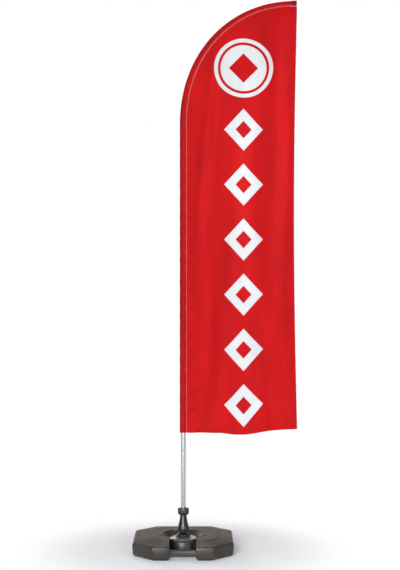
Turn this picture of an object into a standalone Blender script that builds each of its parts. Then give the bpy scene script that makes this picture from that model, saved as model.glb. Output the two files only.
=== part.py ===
# Feather flag on a water-filled base. A tapered rod bends the top of the flag, its pole stands in a cone that
# turns on two ball bearings, and a lugged hub and a plate hold the spindle to the tank.
# Metres, +Z up. The origin is on the floor, on the pole's axis. The flag flies to +X, the handle faces -Y.

import math

import bmesh
import bpy
import numpy as np
from mathutils import Matrix, Vector

for old in list(bpy.data.objects):
    bpy.data.objects.remove(old, do_unlink=True)

# Fits
fit = 0.0003  # between pieces that touch
merge = 0.00001
round_steps = 24  # sides of a turned piece
well_steps = 48
reach = 0.02  # how far a cutter reaches past what it cuts

# Tank: a square with its corners cut off
tank_half = 0.250  # middle of a side, at the parting line
tank_corner = 0.147  # where a side ends
foot_inset = 0.012
foot_height = 0.012
foot_taper = 0.003
side_taper = 0.001
parting_height = 0.045
rim_height = 0.068
rim_bevel = 0.007
plateau_height = 0.081
plateau_half = 0.171
plateau_corner = 0.107
tank_wall = 0.004
water_level = 0.058

# Carry handle, cut into the front of the tank
notch_half = 0.065
notch_ring_wall = 0.005  # between the well's lip and the recess's curved back wall
boss_half = 0.044  # of the back wall, between the deeper pockets on both sides of it
pocket_wall = 0.0055  # between a pocket and the well
ring_flat = 0.0035  # of the well's edge, before it slopes down to the recess
ring_drop = 0.0065
handle_setback = 0.010
handle_depth = 0.028
handle_underside = 0.017
handle_top = 0.048
handle_ease = 0.004
arch_flare = 0.010

# Centre well
well_radius = 0.071
well_floor = 0.052
lip_width = 0.012
lip_height = 0.061
dish_width = 0.024
lip_outer_radius = well_radius + lip_width
dish_radius = lip_outer_radius + dish_width
notch_ring = lip_outer_radius + notch_ring_wall

# Filler
filler_clear = 0.028  # from the dish's edge to the filler's axis, behind the pole
filler_distance = dish_radius + filler_clear
filler_bore_radius = 0.015
filler_neck_radius = 0.019
filler_neck_height = 0.007
gasket_thickness = 0.0015
cap_wall = 0.0025
cap_skirt_gap = 0.0012
cap_lift = 0.001  # skirt above the plateau
cap_ease = 0.0008

# Spindle and what clamps it
bolt_radius = 0.008
bolt_end = 0.014  # height of the bolt's lower end
journal_radius = 0.0075
shank_step = 0.0035
shank_radius = journal_radius + shank_step
insert_wall = 0.0045
insert_radius = bolt_radius + insert_wall
insert_bottom = 0.0115
column_wall = 0.005
plate_gap = 0.004  # round the plate, in the well
plate_radius = well_radius - plate_gap
plate_rise = 0.0105
plate_dome = 0.0070
plate_seat_radius = 0.036  # under the hub, where the plate is flat
plate_rim_height = well_floor + plate_rise
plate_height = plate_rim_height + plate_dome
plate_thickness = 0.0025
plate_ease = 0.0015
hub_radius = 0.033
hub_height = 0.0128
hub_neck_wall = 0.006
hub_neck_radius = shank_radius + hub_neck_wall
hub_neck_height = 0.014
hub_lugs = 6
hub_lug_radius = 0.006
hub_lug_drop = 0.006  # top of a lug, below the hub's shoulder
hub_ease = 0.004
hub_fillet = 0.003

# Bearings
bearing_section = 0.0085  # from the journal to the bearing's outside
bearing_radius = journal_radius + bearing_section
bearing_width = 0.009
bearing_spacing = 0.009
race_wall = 0.0027
ball_radius = 0.0021
ball_count = 8
cage_half_width = 0.0010
top_nut_wall = 0.002
top_nut_across_flats = 2 * (journal_radius + top_nut_wall)
top_nut_height = 0.004

# Tube
tube_radius = 0.0125
tube_wall = 0.00125
socket_radius = tube_radius + fit

# Clamp collar and collet
collet_wall = 0.003
collet_length = 0.017
collet_seat_depth = 0.0117
collet_slot = 0.002
collet_radius = socket_radius + collet_wall
seat_radius = collet_radius + fit
nozzle_wall = 0.0034
nozzle_radius = seat_radius + nozzle_wall
nozzle_height = 0.017
nozzle_step = 0.003
collar_wall = 0.0082
collar_radius = nozzle_radius + fit + collar_wall
collar_height = 0.0315
collar_gap = 0.0005  # over the cone's taper
collar_bevel = 0.0045
collar_bevel_height = 0.007
collar_ease = 0.003
collar_flutes = 12
collar_flute_radius = 0.0035
collar_flute_depth = 0.0015

# Cone socket
rotor_gap = 0.0027  # between the hub's neck and the turning cone
cone_foot_height = plate_height + fit + hub_height + hub_neck_height + rotor_gap
foot_radius = 0.046
foot_thickness = 0.005
foot_ease = 0.001
foot_fillet = 0.002
housing_radius = bearing_radius + fit
housing_wall = 0.0117
cone_base_radius = housing_radius + housing_wall
cone_wall = 0.0032
cone_top_radius = socket_radius + cone_wall
cone_height = 0.0787
cone_top_height = cone_foot_height + cone_height
snap_ring_thickness = 0.0008
snap_ring_depth = 0.0010
snap_ring_width = 0.0040
web_thickness = 0.004
web_gap = 0.002  # over the spindle's end
relief_gap = 0.0015  # round the top nut's corners

# Pole
plug_flange = 0.002
plug_length = 0.020
lower_tube_top = 1.150
joint_length = 0.080
rod_run = 0.091  # from the middle tube's top to the bend
ferrule_length = 0.060
ferrule_flange = 0.008
ferrule_floor = 0.003
ferrule_ease = 0.002
swage = 0.004  # length over which the middle tube is reduced
rod_radius = 0.0065
rod_tip_radius = 0.003
rod_end_gap = 0.012
tip_cap_radius = 0.0048
tip_cap_length = 0.014

# Flag
flag_bottom = 0.591
bend_height = 2.141
middle_tube_top = bend_height - rod_run
bend_width = 0.588
bend_rise = 0.629
bend_fullness = 0.95  # 1 is an ellipse, and less is fuller
sleeve_slack = 0.0055  # between the tube and the flag's outer edge
sleeve_seam_slack = 0.0015
sleeve_depth_slack = 0.0018
sleeve_edge = tube_radius + sleeve_slack  # from the pole's axis to the flag's outer edge
sleeve_width = sleeve_edge + tube_radius + sleeve_seam_slack
sleeve_depth = tube_radius + sleeve_depth_slack
sleeve_tip_width = 0.023
sleeve_tip_depth = 0.0075
sleeve_sides = 14
depth_taper = 0.35  # length over which the sleeve thins to the rod
rod_straight = 0.012  # of the rod above its ferrule, before the sleeve narrows
rod_drift = 0.65  # length over which the rod moves to the sleeve's outer edge
cloth = 0.0008
pocket_length = 0.025
flag_hollow = 0.016  # how far the free edge bows in
free_edge_reach = 0.003
bottom_rise = 0.018
bottom_sag = 0.009
panel_columns = 10
wave_depth = 0.008
long_wave = 0.41
short_wave = 0.19
free_from_seam = 0.12  # distance from the seam at which the cloth hangs free


def look(name, rgb, roughness, metallic=0.0):
    made = bpy.data.materials.new(name)
    made.use_nodes = True
    shader = made.node_tree.nodes["Principled BSDF"]
    shader.inputs["Base Color"].default_value = (*rgb, 1.0)
    shader.inputs["Roughness"].default_value = roughness
    shader.inputs["Metallic"].default_value = metallic
    return made


tank_plastic = look("tank_plastic", (0.045, 0.041, 0.038), 0.38)
hub_plastic = look("hub_plastic", (0.020, 0.020, 0.021), 0.42)
cap_plastic = look("cap_plastic", (0.030, 0.029, 0.028), 0.45)
nylon = look("nylon", (0.55, 0.54, 0.50), 0.50)
soft_rubber = look("soft_rubber", (0.018, 0.018, 0.018), 0.80)
water = look("water", (0.55, 0.62, 0.64), 0.08)
zinc_steel = look("zinc_steel", (0.42, 0.43, 0.44), 0.40, 1.0)
brass = look("brass", (0.55, 0.40, 0.16), 0.35, 1.0)
bearing_steel = look("bearing_steel", (0.50, 0.50, 0.50), 0.22, 1.0)
anodised = look("anodised_aluminium", (0.60, 0.61, 0.63), 0.35, 1.0)
glass_fibre = look("glass_fibre", (0.030, 0.030, 0.032), 0.35)
red_cloth = look("red_cloth", (0.62, 0.012, 0.018), 0.62)
webbing = look("webbing", (0.33, 0.010, 0.014), 0.80)


def finished(name, shape, surface, smooth_angle=35.0):
    """A bmesh as an object of the scene, with its normals outward."""
    bmesh.ops.remove_doubles(shape, verts=shape.verts, dist=merge)
    bmesh.ops.recalc_face_normals(shape, faces=shape.faces)
    mesh = bpy.data.meshes.new(name)
    shape.to_mesh(mesh)
    shape.free()
    mesh.materials.append(surface)
    mesh.shade_smooth()
    mesh.set_sharp_from_angle(angle=math.radians(smooth_angle))
    made = bpy.data.objects.new(name, mesh)
    bpy.context.scene.collection.objects.link(made)
    return made


def turned_shape(profile, steps=round_steps):
    """A profile of (radius, height) turned round Z. It closes on itself unless both ends are on the axis."""
    shape = bmesh.new()
    points = [shape.verts.new((radius, 0.0, height)) for radius, height in profile]
    ends_on_axis = profile[0][0] == 0.0 and profile[-1][0] == 0.0
    following = points[1:] + ([] if ends_on_axis else points[:1])
    edges = [shape.edges.new(pair) for pair in zip(points, following)]
    bmesh.ops.spin(shape, geom=points + edges, cent=(0, 0, 0), axis=(0, 0, 1), angle=math.tau, steps=steps)
    return shape


def turned(name, profile, surface, steps=round_steps):
    return finished(name, turned_shape(profile, steps), surface)


def ring(name, inner, outer, bottom, top, surface, steps=round_steps):
    return turned(name, [(inner, bottom), (outer, bottom), (outer, top), (inner, top)], surface, steps)


def lofted_shape(loops, closed=False, strip=False):
    """Skins loops of as many points each. The end loops are capped, or joined if the shape is closed.

    In a strip, which is thin and not flat, front and back are folded along the same diagonals, and
    the ends are capped with quads from front to back."""
    shape = bmesh.new()
    rows = [[shape.verts.new(point) for point in loop] for loop in loops]
    count = len(rows[0])
    for first, second in zip(rows, rows[1:] + (rows[:1] if closed else [])):
        for i in range(count):
            j = (i + 1) % count
            if not strip:
                shape.faces.new((first[i], first[j], second[j], second[i]))
            elif i < count // 2:
                shape.faces.new((first[i], first[j], second[j]))
                shape.faces.new((first[i], second[j], second[i]))
            else:
                shape.faces.new((first[i], first[j], second[i]))
                shape.faces.new((first[j], second[j], second[i]))
    for row in [] if closed else (rows[0], rows[-1]):
        if strip:
            for i in range(count // 2 - 1):
                shape.faces.new((row[i], row[i + 1], row[-2 - i], row[-1 - i]))
        else:
            shape.faces.new(row)
    return shape


def prism(outline, bottom, top):
    return lofted_shape([[(x, y, height) for x, y in outline] for height in (bottom, top)])


def hexagon(across_flats):
    radius = across_flats / math.sqrt(3)
    return [(radius * math.cos(turn), radius * math.sin(turn)) for turn in np.arange(6) * math.pi / 3]


def helper(name, shape):
    """A cutter, or a shape that is joined to another, which the finished object doesn't show."""
    made = finished(name, shape, tank_plastic)
    made.hide_render = True
    made.display_type = "WIRE"
    return made


def combine(target, operation, *others):
    for other in others:
        modifier = target.modifiers.new(other.name, "BOOLEAN")
        modifier.operation = operation
        modifier.object = other
        modifier.solver = "EXACT"


# ---------------------------------------------------------------- tank


def octagon(half, corner, height, inset=0.0):
    half, corner = half - inset, corner - inset * (math.sqrt(2) - 1)
    quarter = [(corner, -half), (half, -corner)]
    turns = [quarter, [(half, corner), (corner, half)], [(-corner, half), (-half, corner)],
             [(-half, -corner), (-corner, -half)]]
    return [(x, y, height) for pair in turns for x, y in pair]


def tank_block(inset=0.0, top=None):
    """The tank's outer form, or the same form moved inwards."""
    loops = [
        octagon(tank_half, tank_corner, inset, foot_inset + inset),
        octagon(tank_half, tank_corner, foot_height, foot_taper + inset),
        octagon(tank_half, tank_corner, parting_height, inset),
    ]
    if top is None:
        loops += [
            octagon(tank_half, tank_corner, rim_height - rim_bevel, side_taper + inset),
            octagon(tank_half, tank_corner, rim_height - inset / 2, rim_bevel + inset),
            octagon(plateau_half, plateau_corner, plateau_height - inset, inset / 4),
        ]
    else:
        loops.append(octagon(tank_half, tank_corner, top, side_taper + inset))
    return lofted_shape(loops)


def arc_of(radius, from_x, to_x, count):
    turns = np.linspace(math.asin(from_x / radius), math.asin(to_x / radius), count)
    return [(radius * math.sin(turn), -radius * math.cos(turn)) for turn in turns]


def notch_prism(front, grow, bottom, top, ring=notch_ring):
    """Plan of the handle's recess, from its front to its curved back wall and the pockets beside that."""
    half, boss, pocket = notch_half + grow, boss_half - grow, well_radius + pocket_wall - grow
    right = arc_of(pocket, half, boss, 4)
    left = [(-x, y) for x, y in right[::-1]]
    return prism([(-half, front), (half, front), *right, *arc_of(ring - grow, boss, -boss, 7), *left],
                 bottom, top)


def ring_slope_cutter():
    """Slopes the well's edge down to the top of the recess's back wall."""
    low, inner = lip_height - ring_drop, well_radius + ring_flat
    cutter = helper("ring_slope_cut", notch_prism(-notch_ring - reach, 0.0, low - ring_flat,
                                                  plateau_height + reach, inner))
    keep = turned_shape([
        (0.0, low - reach), (notch_ring + ring_flat, low - reach),
        (notch_ring + ring_flat, low - ring_flat / 4), (notch_ring, low),
        (inner, lip_height), (0.0, lip_height),
    ], well_steps)
    combine(cutter, "DIFFERENCE", helper("ring_slope_keep", keep))
    return cutter


def well_shape(grow):
    """The dished crater and the centre well as one turned cutter."""
    above = plateau_height + reach
    lip = lip_height - (grow + ring_drop if grow else 0.0)
    slope = (dish_radius - lip_outer_radius) / (plateau_height - lip_height)
    return turned_shape([
        (0.0, well_floor - grow),
        (well_radius + grow, well_floor - grow),
        (well_radius + grow, lip),
        (lip_outer_radius + grow, lip),
        (dish_radius + grow + slope * reach, above),
        (0.0, above),
    ], well_steps)


def cylinder_shape(radius, bottom, top, steps=round_steps, x=0.0, y=0.0):
    shape = turned_shape([(0.0, bottom), (radius, bottom), (radius, top), (0.0, top)], steps)
    bmesh.ops.translate(shape, verts=shape.verts, vec=(x, y, 0.0))
    return shape


def handle_bar():
    """The bar across the notch. Its edges are eased, and its ends run into the tank's walls on both sides."""
    front, ease = -tank_half + handle_setback, handle_ease
    back, end = front + handle_depth, notch_half + tank_wall
    section = [
        (front + ease, handle_underside), (back - ease, handle_underside), (back, handle_underside + ease),
        (back, handle_top - ease), (back - ease, handle_top), (front + ease, handle_top),
        (front, handle_top - ease), (front, handle_underside + ease),
    ]
    return lofted_shape([[(x, y, z) for y, z in section] for x in (-end, end)])


def arch_cutter():
    """Flares the foot of the notch's side walls."""
    top = handle_underside - tank_wall
    low_half = notch_half + arch_flare * (top + reach) / top
    section = [(-low_half, -reach), (low_half, -reach), (notch_half, top), (-notch_half, top)]
    back = -tank_half + handle_setback + handle_depth + reach
    return lofted_shape([[(x, y, z) for x, z in section] for y in (-tank_half - reach, back)])


column_radius = insert_radius + fit + column_wall


def build_tank():
    tank = finished("tank_shell", tank_block(), tank_plastic)
    outside, low, high = -tank_half - reach, -reach, plateau_height + reach
    notch = helper("notch_cut", notch_prism(outside, 0.0, low, high))
    bar = helper("handle_join", handle_bar())
    arch = helper("arch_cut", arch_cutter())
    well = helper("well_cut", well_shape(0.0))
    root, neck_top = plateau_height - tank_wall, plateau_height + filler_neck_height
    neck = helper("filler_neck_join", cylinder_shape(filler_neck_radius, root, neck_top, y=filler_distance))

    cavity = helper("cavity_cut", tank_block(tank_wall))
    cavity_notch = helper("cavity_notch", notch_prism(outside, tank_wall, low, high))
    cavity_well = helper("cavity_well", well_shape(tank_wall))
    cavity_column = helper("cavity_column", cylinder_shape(column_radius, low, high))
    combine(cavity, "DIFFERENCE", cavity_notch, cavity_well, cavity_column)

    pocket = helper("insert_pocket_cut", cylinder_shape(insert_radius + fit, insert_bottom - fit, high))
    filler = helper("filler_bore_cut", cylinder_shape(
        filler_bore_radius, plateau_height - 3 * tank_wall, high, y=filler_distance))
    combine(tank, "DIFFERENCE", notch)
    combine(tank, "UNION", bar)
    combine(tank, "DIFFERENCE", arch, well, ring_slope_cutter())
    combine(tank, "UNION", neck)
    combine(tank, "DIFFERENCE", cavity, pocket, filler)


def build_water():
    grow = tank_wall + fit
    fill = finished("water_fill", tank_block(grow, water_level), water)
    outside, low, high = -tank_half - reach, -reach, plateau_height + reach
    combine(
        fill, "DIFFERENCE",
        helper("water_notch", notch_prism(outside, grow, low, high)),
        helper("water_well", well_shape(grow)),
        helper("water_column", cylinder_shape(column_radius + fit, low, high)),
    )


def build_filler():
    neck_top = plateau_height + filler_neck_height
    gasket_bottom = neck_top + fit
    gasket_top = gasket_bottom + gasket_thickness
    ring("filler_gasket", filler_bore_radius, filler_neck_radius, gasket_bottom, gasket_top, soft_rubber)
    bpy.data.objects["filler_gasket"].location.y = filler_distance
    skirt = filler_neck_radius + cap_skirt_gap
    outer = skirt + cap_wall
    roof, bottom = gasket_top + fit, plateau_height + cap_lift
    cap = turned("filler_cap", [
        (0.0, roof), (skirt, roof), (skirt, bottom), (outer, bottom),
        (outer, roof + cap_wall - cap_ease), (outer - cap_ease, roof + cap_wall), (0.0, roof + cap_wall),
    ], cap_plastic)
    cap.location.y = filler_distance


# ---------------------------------------------------------------- spindle


shoulder = plate_height + fit
lower_bearing = cone_foot_height + foot_thickness / 2 + fit
upper_bearing = lower_bearing + bearing_width + bearing_spacing + 2 * fit
bearing_top = upper_bearing + bearing_width
top_nut_bottom = bearing_top + fit


def build_spindle():
    turned("spindle", [
        (0.0, bolt_end), (bolt_radius, bolt_end), (bolt_radius, shoulder), (shank_radius, shoulder),
        (shank_radius, lower_bearing - fit), (journal_radius, lower_bearing - fit),
        (journal_radius, top_nut_bottom + top_nut_height), (0.0, top_nut_bottom + top_nut_height),
    ], zinc_steel)
    insert = [(0.0, insert_bottom), (insert_radius, insert_bottom), (insert_radius, well_floor),
              (bolt_radius + fit, well_floor), (bolt_radius + fit, bolt_end - fit), (0.0, bolt_end - fit)]
    turned("threaded_insert", insert, brass)
    top = top_nut_bottom + top_nut_height
    nut = finished("spindle_top_nut", prism(hexagon(top_nut_across_flats), top_nut_bottom, top), zinc_steel)
    bore = cylinder_shape(journal_radius + fit, top_nut_bottom - reach, top + reach)
    combine(nut, "DIFFERENCE", helper("top_nut_bore_cut", bore))


def build_plate():
    """A pressed and domed plate whose rim is turned down to the floor of the well."""
    hole, bottom = bolt_radius + fit, well_floor + fit
    inside, thick, rim = plate_radius - plate_thickness, plate_thickness, plate_rim_height
    turned("clamp_plate", [
        (hole, plate_height - thick), (plate_seat_radius, plate_height - thick), (inside, rim - thick),
        (inside, bottom), (plate_radius, bottom), (plate_radius, rim - plate_ease),
        (plate_radius - plate_ease, rim), (plate_seat_radius, plate_height), (hole, plate_height),
    ], zinc_steel, well_steps)


def build_hub():
    """The hub and its lugs. A short neck above it guards the lower bearing."""
    bottom, bore = shoulder, shank_radius + fit
    top, neck_top = bottom + hub_height, bottom + hub_height + hub_neck_height
    hub = turned("spindle_hub", [
        (bore, bottom), (hub_radius, bottom), (hub_radius, top - hub_ease), (hub_radius - hub_ease, top),
        (hub_neck_radius + hub_fillet, top), (hub_neck_radius, top + hub_fillet),
        (hub_neck_radius, neck_top), (bore, neck_top),
    ], hub_plastic)
    for i in range(hub_lugs):
        turn = (i + 0.5) * math.tau / hub_lugs
        x, y = hub_radius * math.cos(turn), hub_radius * math.sin(turn)
        lug = helper(f"hub_lug_{i + 1}", cylinder_shape(hub_lug_radius, bottom, top - hub_lug_drop, 12, x, y))
        combine(hub, "UNION", lug)


# ---------------------------------------------------------------- bearings


def build_bearing(name, bottom):
    """One deep-groove ball bearing: two races with a groove each, and the balls in their cage."""
    middle, top = bottom + bearing_width / 2, bottom + bearing_width
    bore = journal_radius + fit
    inner_face, outer_face = bore + race_wall, bearing_radius - race_wall
    pitch = (inner_face + outer_face) / 2
    groove = ball_radius + fit
    turns = np.linspace(-1.0, 1.0, 5)

    def groove_points(face, side):
        reach = abs(face - pitch)
        half_angle = math.acos(min(1.0, reach / groove))
        return [(pitch + side * groove * math.cos(half_angle * t), middle + groove * math.sin(half_angle * t))
                for t in turns]

    inner_groove, outer_groove = groove_points(inner_face, -1), groove_points(outer_face, 1)
    inner_back, outer_back = [(bore, top), (bore, bottom)], [(bearing_radius, top), (bearing_radius, bottom)]
    inner = inner_back + [(inner_face, bottom), *inner_groove, (inner_face, top)]
    outer = outer_back + [(outer_face, bottom), *outer_groove, (outer_face, top)]
    turned(name + "_inner_race", inner, bearing_steel)
    turned(name + "_outer_race", outer, bearing_steel)
    cage_half = (outer_face - inner_face) / 2 - 2 * fit
    cage = ring(name + "_ball_cage", pitch - cage_half, pitch + cage_half, middle - cage_half_width,
                middle + cage_half_width, bearing_steel)
    for i in range(ball_count):
        turn = i * math.tau / ball_count
        ball = bmesh.new()
        place = Matrix.Translation((pitch * math.cos(turn), pitch * math.sin(turn), middle))
        bmesh.ops.create_icosphere(ball, subdivisions=2, radius=ball_radius, matrix=place)
        combine(cage, "UNION", helper(f"{name}_ball_{i + 1}", ball))


def build_bearings():
    build_bearing("lower", lower_bearing)
    build_bearing("upper", upper_bearing)
    bottom, top = lower_bearing + bearing_width + fit, upper_bearing - fit
    bore = journal_radius + fit
    ring("inner_spacer", bore, bore + race_wall, bottom, top, zinc_steel)
    ring("outer_spacer", bearing_radius - race_wall, bearing_radius, bottom, top, zinc_steel)


# ---------------------------------------------------------------- cone, collet and collar


relief_radius = top_nut_across_flats / math.sqrt(3) + relief_gap
web_bottom = top_nut_bottom + top_nut_height + web_gap
web_top = web_bottom + web_thickness
nozzle_bottom = cone_top_height + nozzle_step
nozzle_top = nozzle_bottom + nozzle_height
collet_bottom = nozzle_top - collet_seat_depth
collar_bottom = cone_top_height + collar_gap
collar_top = collar_bottom + collar_height


def build_cone():
    foot_top = cone_foot_height + foot_thickness
    groove_top = lower_bearing
    groove_bottom = groove_top - snap_ring_thickness - 2 * fit
    groove_radius = housing_radius + snap_ring_depth + fit
    turned("cone_socket", [
        (0.0, web_bottom), (relief_radius, web_bottom), (relief_radius, bearing_top + fit),
        (housing_radius, bearing_top + fit), (housing_radius, groove_top), (groove_radius, groove_top),
        (groove_radius, groove_bottom), (housing_radius, groove_bottom), (housing_radius, cone_foot_height),
        (foot_radius - foot_ease, cone_foot_height), (foot_radius, cone_foot_height + foot_ease),
        (foot_radius, foot_top - foot_ease), (foot_radius - foot_ease, foot_top),
        (cone_base_radius + foot_fillet, foot_top), (cone_base_radius, foot_top + foot_fillet),
        (cone_top_radius, cone_top_height), (nozzle_radius, nozzle_bottom), (nozzle_radius, nozzle_top),
        (seat_radius, nozzle_top), (seat_radius, collet_bottom - fit), (socket_radius, collet_bottom - fit),
        (socket_radius, web_top), (0.0, web_top),
    ], hub_plastic)
    outer, bottom = housing_radius + snap_ring_depth, groove_bottom + fit
    top = bottom + snap_ring_thickness
    ring("rotor_snap_ring", outer - snap_ring_width, outer, bottom, top, bearing_steel)


def build_collet():
    """A split nylon sleeve: the slot lets it close on the tube."""
    collet = ring("collet", socket_radius, collet_radius, collet_bottom, collet_bottom + collet_length, nylon)
    half = collet_slot / 2
    outline = [(-half, 0.0), (half, 0.0), (half, 2 * collet_radius), (-half, 2 * collet_radius)]
    slot = prism(outline, collet_bottom - reach, collet_bottom + collet_length + reach)
    combine(collet, "DIFFERENCE", helper("collet_slot_cut", slot))


def build_collar():
    step, ledge = nozzle_top + fit, collet_bottom + collet_length + fit
    low, thread = collar_bottom + collar_bevel_height, nozzle_radius + fit
    collar = turned("clamp_collar", [
        (thread, collar_bottom), (collar_radius - collar_bevel, collar_bottom), (collar_radius, low),
        (collar_radius, collar_top - collar_ease), (collar_radius - collar_ease, collar_top),
        (socket_radius, collar_top), (socket_radius, ledge), (seat_radius, ledge), (seat_radius, step),
        (thread, step),
    ], hub_plastic)
    axis_radius = collar_radius + collar_flute_radius - collar_flute_depth
    for i in range(collar_flutes):
        turn = (i + 0.5) * math.tau / collar_flutes
        x, y = axis_radius * math.cos(turn), axis_radius * math.sin(turn)
        cutter = cylinder_shape(collar_flute_radius, low + collar_ease, collar_top + reach, 10, x, y)
        combine(collar, "DIFFERENCE", helper(f"collar_flute_{i + 1}", cutter))


# ---------------------------------------------------------------- pole


tube_bore = tube_radius - tube_wall
spigot_radius = tube_bore - fit
rod_bore = rod_radius + fit
rod_bottom = middle_tube_top - ferrule_length + ferrule_floor


def build_pole():
    plug_bottom = web_top + fit
    flange_top, plug_top = plug_bottom + plug_flange, plug_bottom + plug_flange + plug_length
    turned("foot_plug", [
        (0.0, plug_bottom), (tube_radius, plug_bottom), (tube_radius, flange_top),
        (spigot_radius, flange_top), (spigot_radius, plug_top - ferrule_ease),
        (spigot_radius - ferrule_ease, plug_top), (0.0, plug_top),
    ], hub_plastic)
    ring("pole_lower", tube_bore, tube_radius, flange_top + fit, lower_tube_top, anodised)
    spigot_bore, spigot_bottom = spigot_radius - tube_wall, lower_tube_top - joint_length
    turned("pole_middle", [
        (spigot_bore, spigot_bottom), (spigot_radius, spigot_bottom), (spigot_radius, lower_tube_top + fit),
        (tube_radius, lower_tube_top + fit), (tube_radius, middle_tube_top), (tube_bore, middle_tube_top),
        (tube_bore, lower_tube_top + swage), (spigot_bore, lower_tube_top + swage - tube_wall),
    ], anodised)
    floor, seat = middle_tube_top - ferrule_length, middle_tube_top + fit
    flange_top = middle_tube_top + ferrule_flange
    turned("rod_ferrule", [
        (0.0, floor), (spigot_radius, floor), (spigot_radius, seat), (tube_radius, seat),
        (tube_radius, flange_top - ferrule_ease), (tube_radius - ferrule_ease, flange_top),
        (rod_bore, flange_top), (rod_bore, rod_bottom - fit), (0.0, rod_bottom - fit),
    ], hub_plastic)


# ---------------------------------------------------------------- flag


def smooth_step(value, low, high):
    share = np.clip((value - low) / (high - low), 0.0, 1.0)
    return share * share * (3 - 2 * share)


def edge_line(count=2400):
    """The flag's outer edge from its foot to its tip, as points at even spacing in the XZ plane."""
    turn = np.linspace(0.0, math.pi / 2, 2 * count)
    bend_x = -sleeve_edge + bend_width * (1 - np.cos(turn) ** bend_fullness)
    bend_z = bend_height + bend_rise * np.sin(turn) ** bend_fullness
    line = np.stack([np.append(-sleeve_edge, bend_x), np.append(flag_bottom, bend_z)], axis=1)
    along = np.append(0.0, np.cumsum(np.linalg.norm(np.diff(line, axis=0), axis=1)))
    even = np.linspace(0.0, along[-1], count)
    return np.stack([np.interp(even, along, line[:, 0]), np.interp(even, along, line[:, 1])], axis=1), even


edge_points, edge_along = edge_line()
edge_length = edge_along[-1]
bend_start = bend_height - flag_bottom
narrow_start = middle_tube_top + ferrule_flange + rod_straight - flag_bottom


def on_edge(along):
    """The outer edge's point, its inward direction and its own direction, at a length along it."""
    def point(at):
        return np.array([np.interp(at, edge_along, edge_points[:, axis]) for axis in (0, 1)])

    low, high = max(along - reach / 2, 0.0), min(along + reach / 2, edge_length)
    way = point(high) - point(low)
    way /= np.linalg.norm(way)
    return point(along), np.array([way[1], -way[0]]), way


def sleeve_size(along):
    """Half the sleeve's width and half its depth, outside."""
    width = sleeve_width + (sleeve_tip_width - sleeve_width) * smooth_step(along, narrow_start, edge_length)
    thinned = smooth_step(along, narrow_start, narrow_start + depth_taper)
    depth = sleeve_depth + (sleeve_tip_depth - sleeve_depth) * thinned
    return width / 2, depth + cloth


def sleeve_ring(along, grow):
    """One cross-section of the sleeve, grown by a thickness."""
    point, inward, _ = on_edge(along)
    half_width, half_depth = sleeve_size(along)
    centre = point + inward * half_width
    loop = []
    for turn in np.arange(sleeve_sides) * math.tau / sleeve_sides:
        x, z = centre + inward * (half_width + grow) * math.cos(turn)
        loop.append((x, (half_depth + grow) * math.sin(turn), z))
    return loop


def sleeve_stations():
    """Lengths along the edge where the sleeve has a ring: few where it is straight, more round the bend."""
    straight = np.linspace(0.0, narrow_start, 8, endpoint=False)
    bend = np.linspace(narrow_start, edge_length - 2.5 * pocket_length, 22)
    end = edge_length - pocket_length * np.array([1.4, 0.7, 0.0])
    return np.concatenate([straight, bend, end])


def build_sleeve():
    stations = sleeve_stations()
    outer = [sleeve_ring(along, 0.0) for along in stations]
    inner = [sleeve_ring(along, -cloth) for along in stations[::-1]]
    finished("pole_sleeve", lofted_shape(outer + inner, closed=True), red_cloth, 60.0)


def build_tip_pocket():
    """A cup of webbing over the sleeve's end."""
    grow, wall = 2 * fit, 2 * cloth
    start = edge_length - pocket_length
    stations = np.linspace(start, edge_length, 4)
    outer = [sleeve_ring(along, grow + wall) for along in stations]
    inner = [sleeve_ring(along, grow) for along in stations[::-1]]
    _, _, way = on_edge(edge_length)

    def beyond(loop, distance):
        return [(x + way[0] * distance, y, z + way[1] * distance) for x, y, z in loop]

    outer.append(beyond(outer[-1], grow + wall))
    inner.insert(0, beyond(inner[0], grow))
    finished("tip_pocket", lofted_shape(inner + outer), webbing, 60.0)


def rod_centre(along):
    """The rod leaves the pole's axis where the bend begins, and then lies against the sleeve's outer edge."""
    point, inward, way = on_edge(along)
    pressed = tip_cap_radius + 2 * cloth + 3 * fit
    drift = smooth_step(along, narrow_start, narrow_start + rod_drift)
    offset = sleeve_edge + (pressed - sleeve_edge) * drift
    return point + inward * offset, way


def rod_radius_at(along):
    return rod_radius + (rod_tip_radius - rod_radius) * smooth_step(along, narrow_start, edge_length)


rod_end = edge_length - rod_end_gap


def build_rod():
    """The tapered rod: a curve whose points carry the radius."""
    straight = [(Vector((0.0, 0.0, height)), rod_radius) for height in (rod_bottom, middle_tube_top)]
    bent = []
    for along in np.linspace(narrow_start, rod_end - tip_cap_length / 2, 30):
        (x, z), _ = rod_centre(along)
        bent.append((Vector((x, 0.0, z)), rod_radius_at(along)))
    path = straight + bent
    curve = bpy.data.curves.new("tip_rod", "CURVE")
    curve.dimensions = "3D"
    curve.bevel_depth = 1.0
    curve.bevel_resolution = 3
    curve.use_fill_caps = True
    spline = curve.splines.new("POLY")
    spline.points.add(len(path) - 1)
    for point, (place, radius) in zip(spline.points, path):
        point.co = (*place, 1.0)
        point.radius = radius
    curve.materials.append(glass_fibre)
    bpy.context.scene.collection.objects.link(bpy.data.objects.new("tip_rod", curve))


def build_tip_cap():
    """A round-ended cap over the rod's thin end."""
    along = rod_end - tip_cap_length / 2
    (x, z), way = rod_centre(along)
    bore = rod_radius_at(along) + fit
    length = tip_cap_length
    rounding = [(tip_cap_radius * math.cos(turn), length / 2 + tip_cap_radius * 0.8 * math.sin(turn))
                for turn in np.linspace(0.0, math.pi / 2, 5)]
    shape = turned_shape([
        (0.0, fit), (bore, fit), (bore, -length / 2), (tip_cap_radius, -length / 2), *rounding[:-1],
        (0.0, rounding[-1][1]),
    ], 16)
    cap = finished("tip_cap", shape, soft_rubber)
    cap.location = (x, 0.0, z)
    cap.rotation_euler = (0.0, math.atan2(way[0], way[1]), 0.0)


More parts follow.
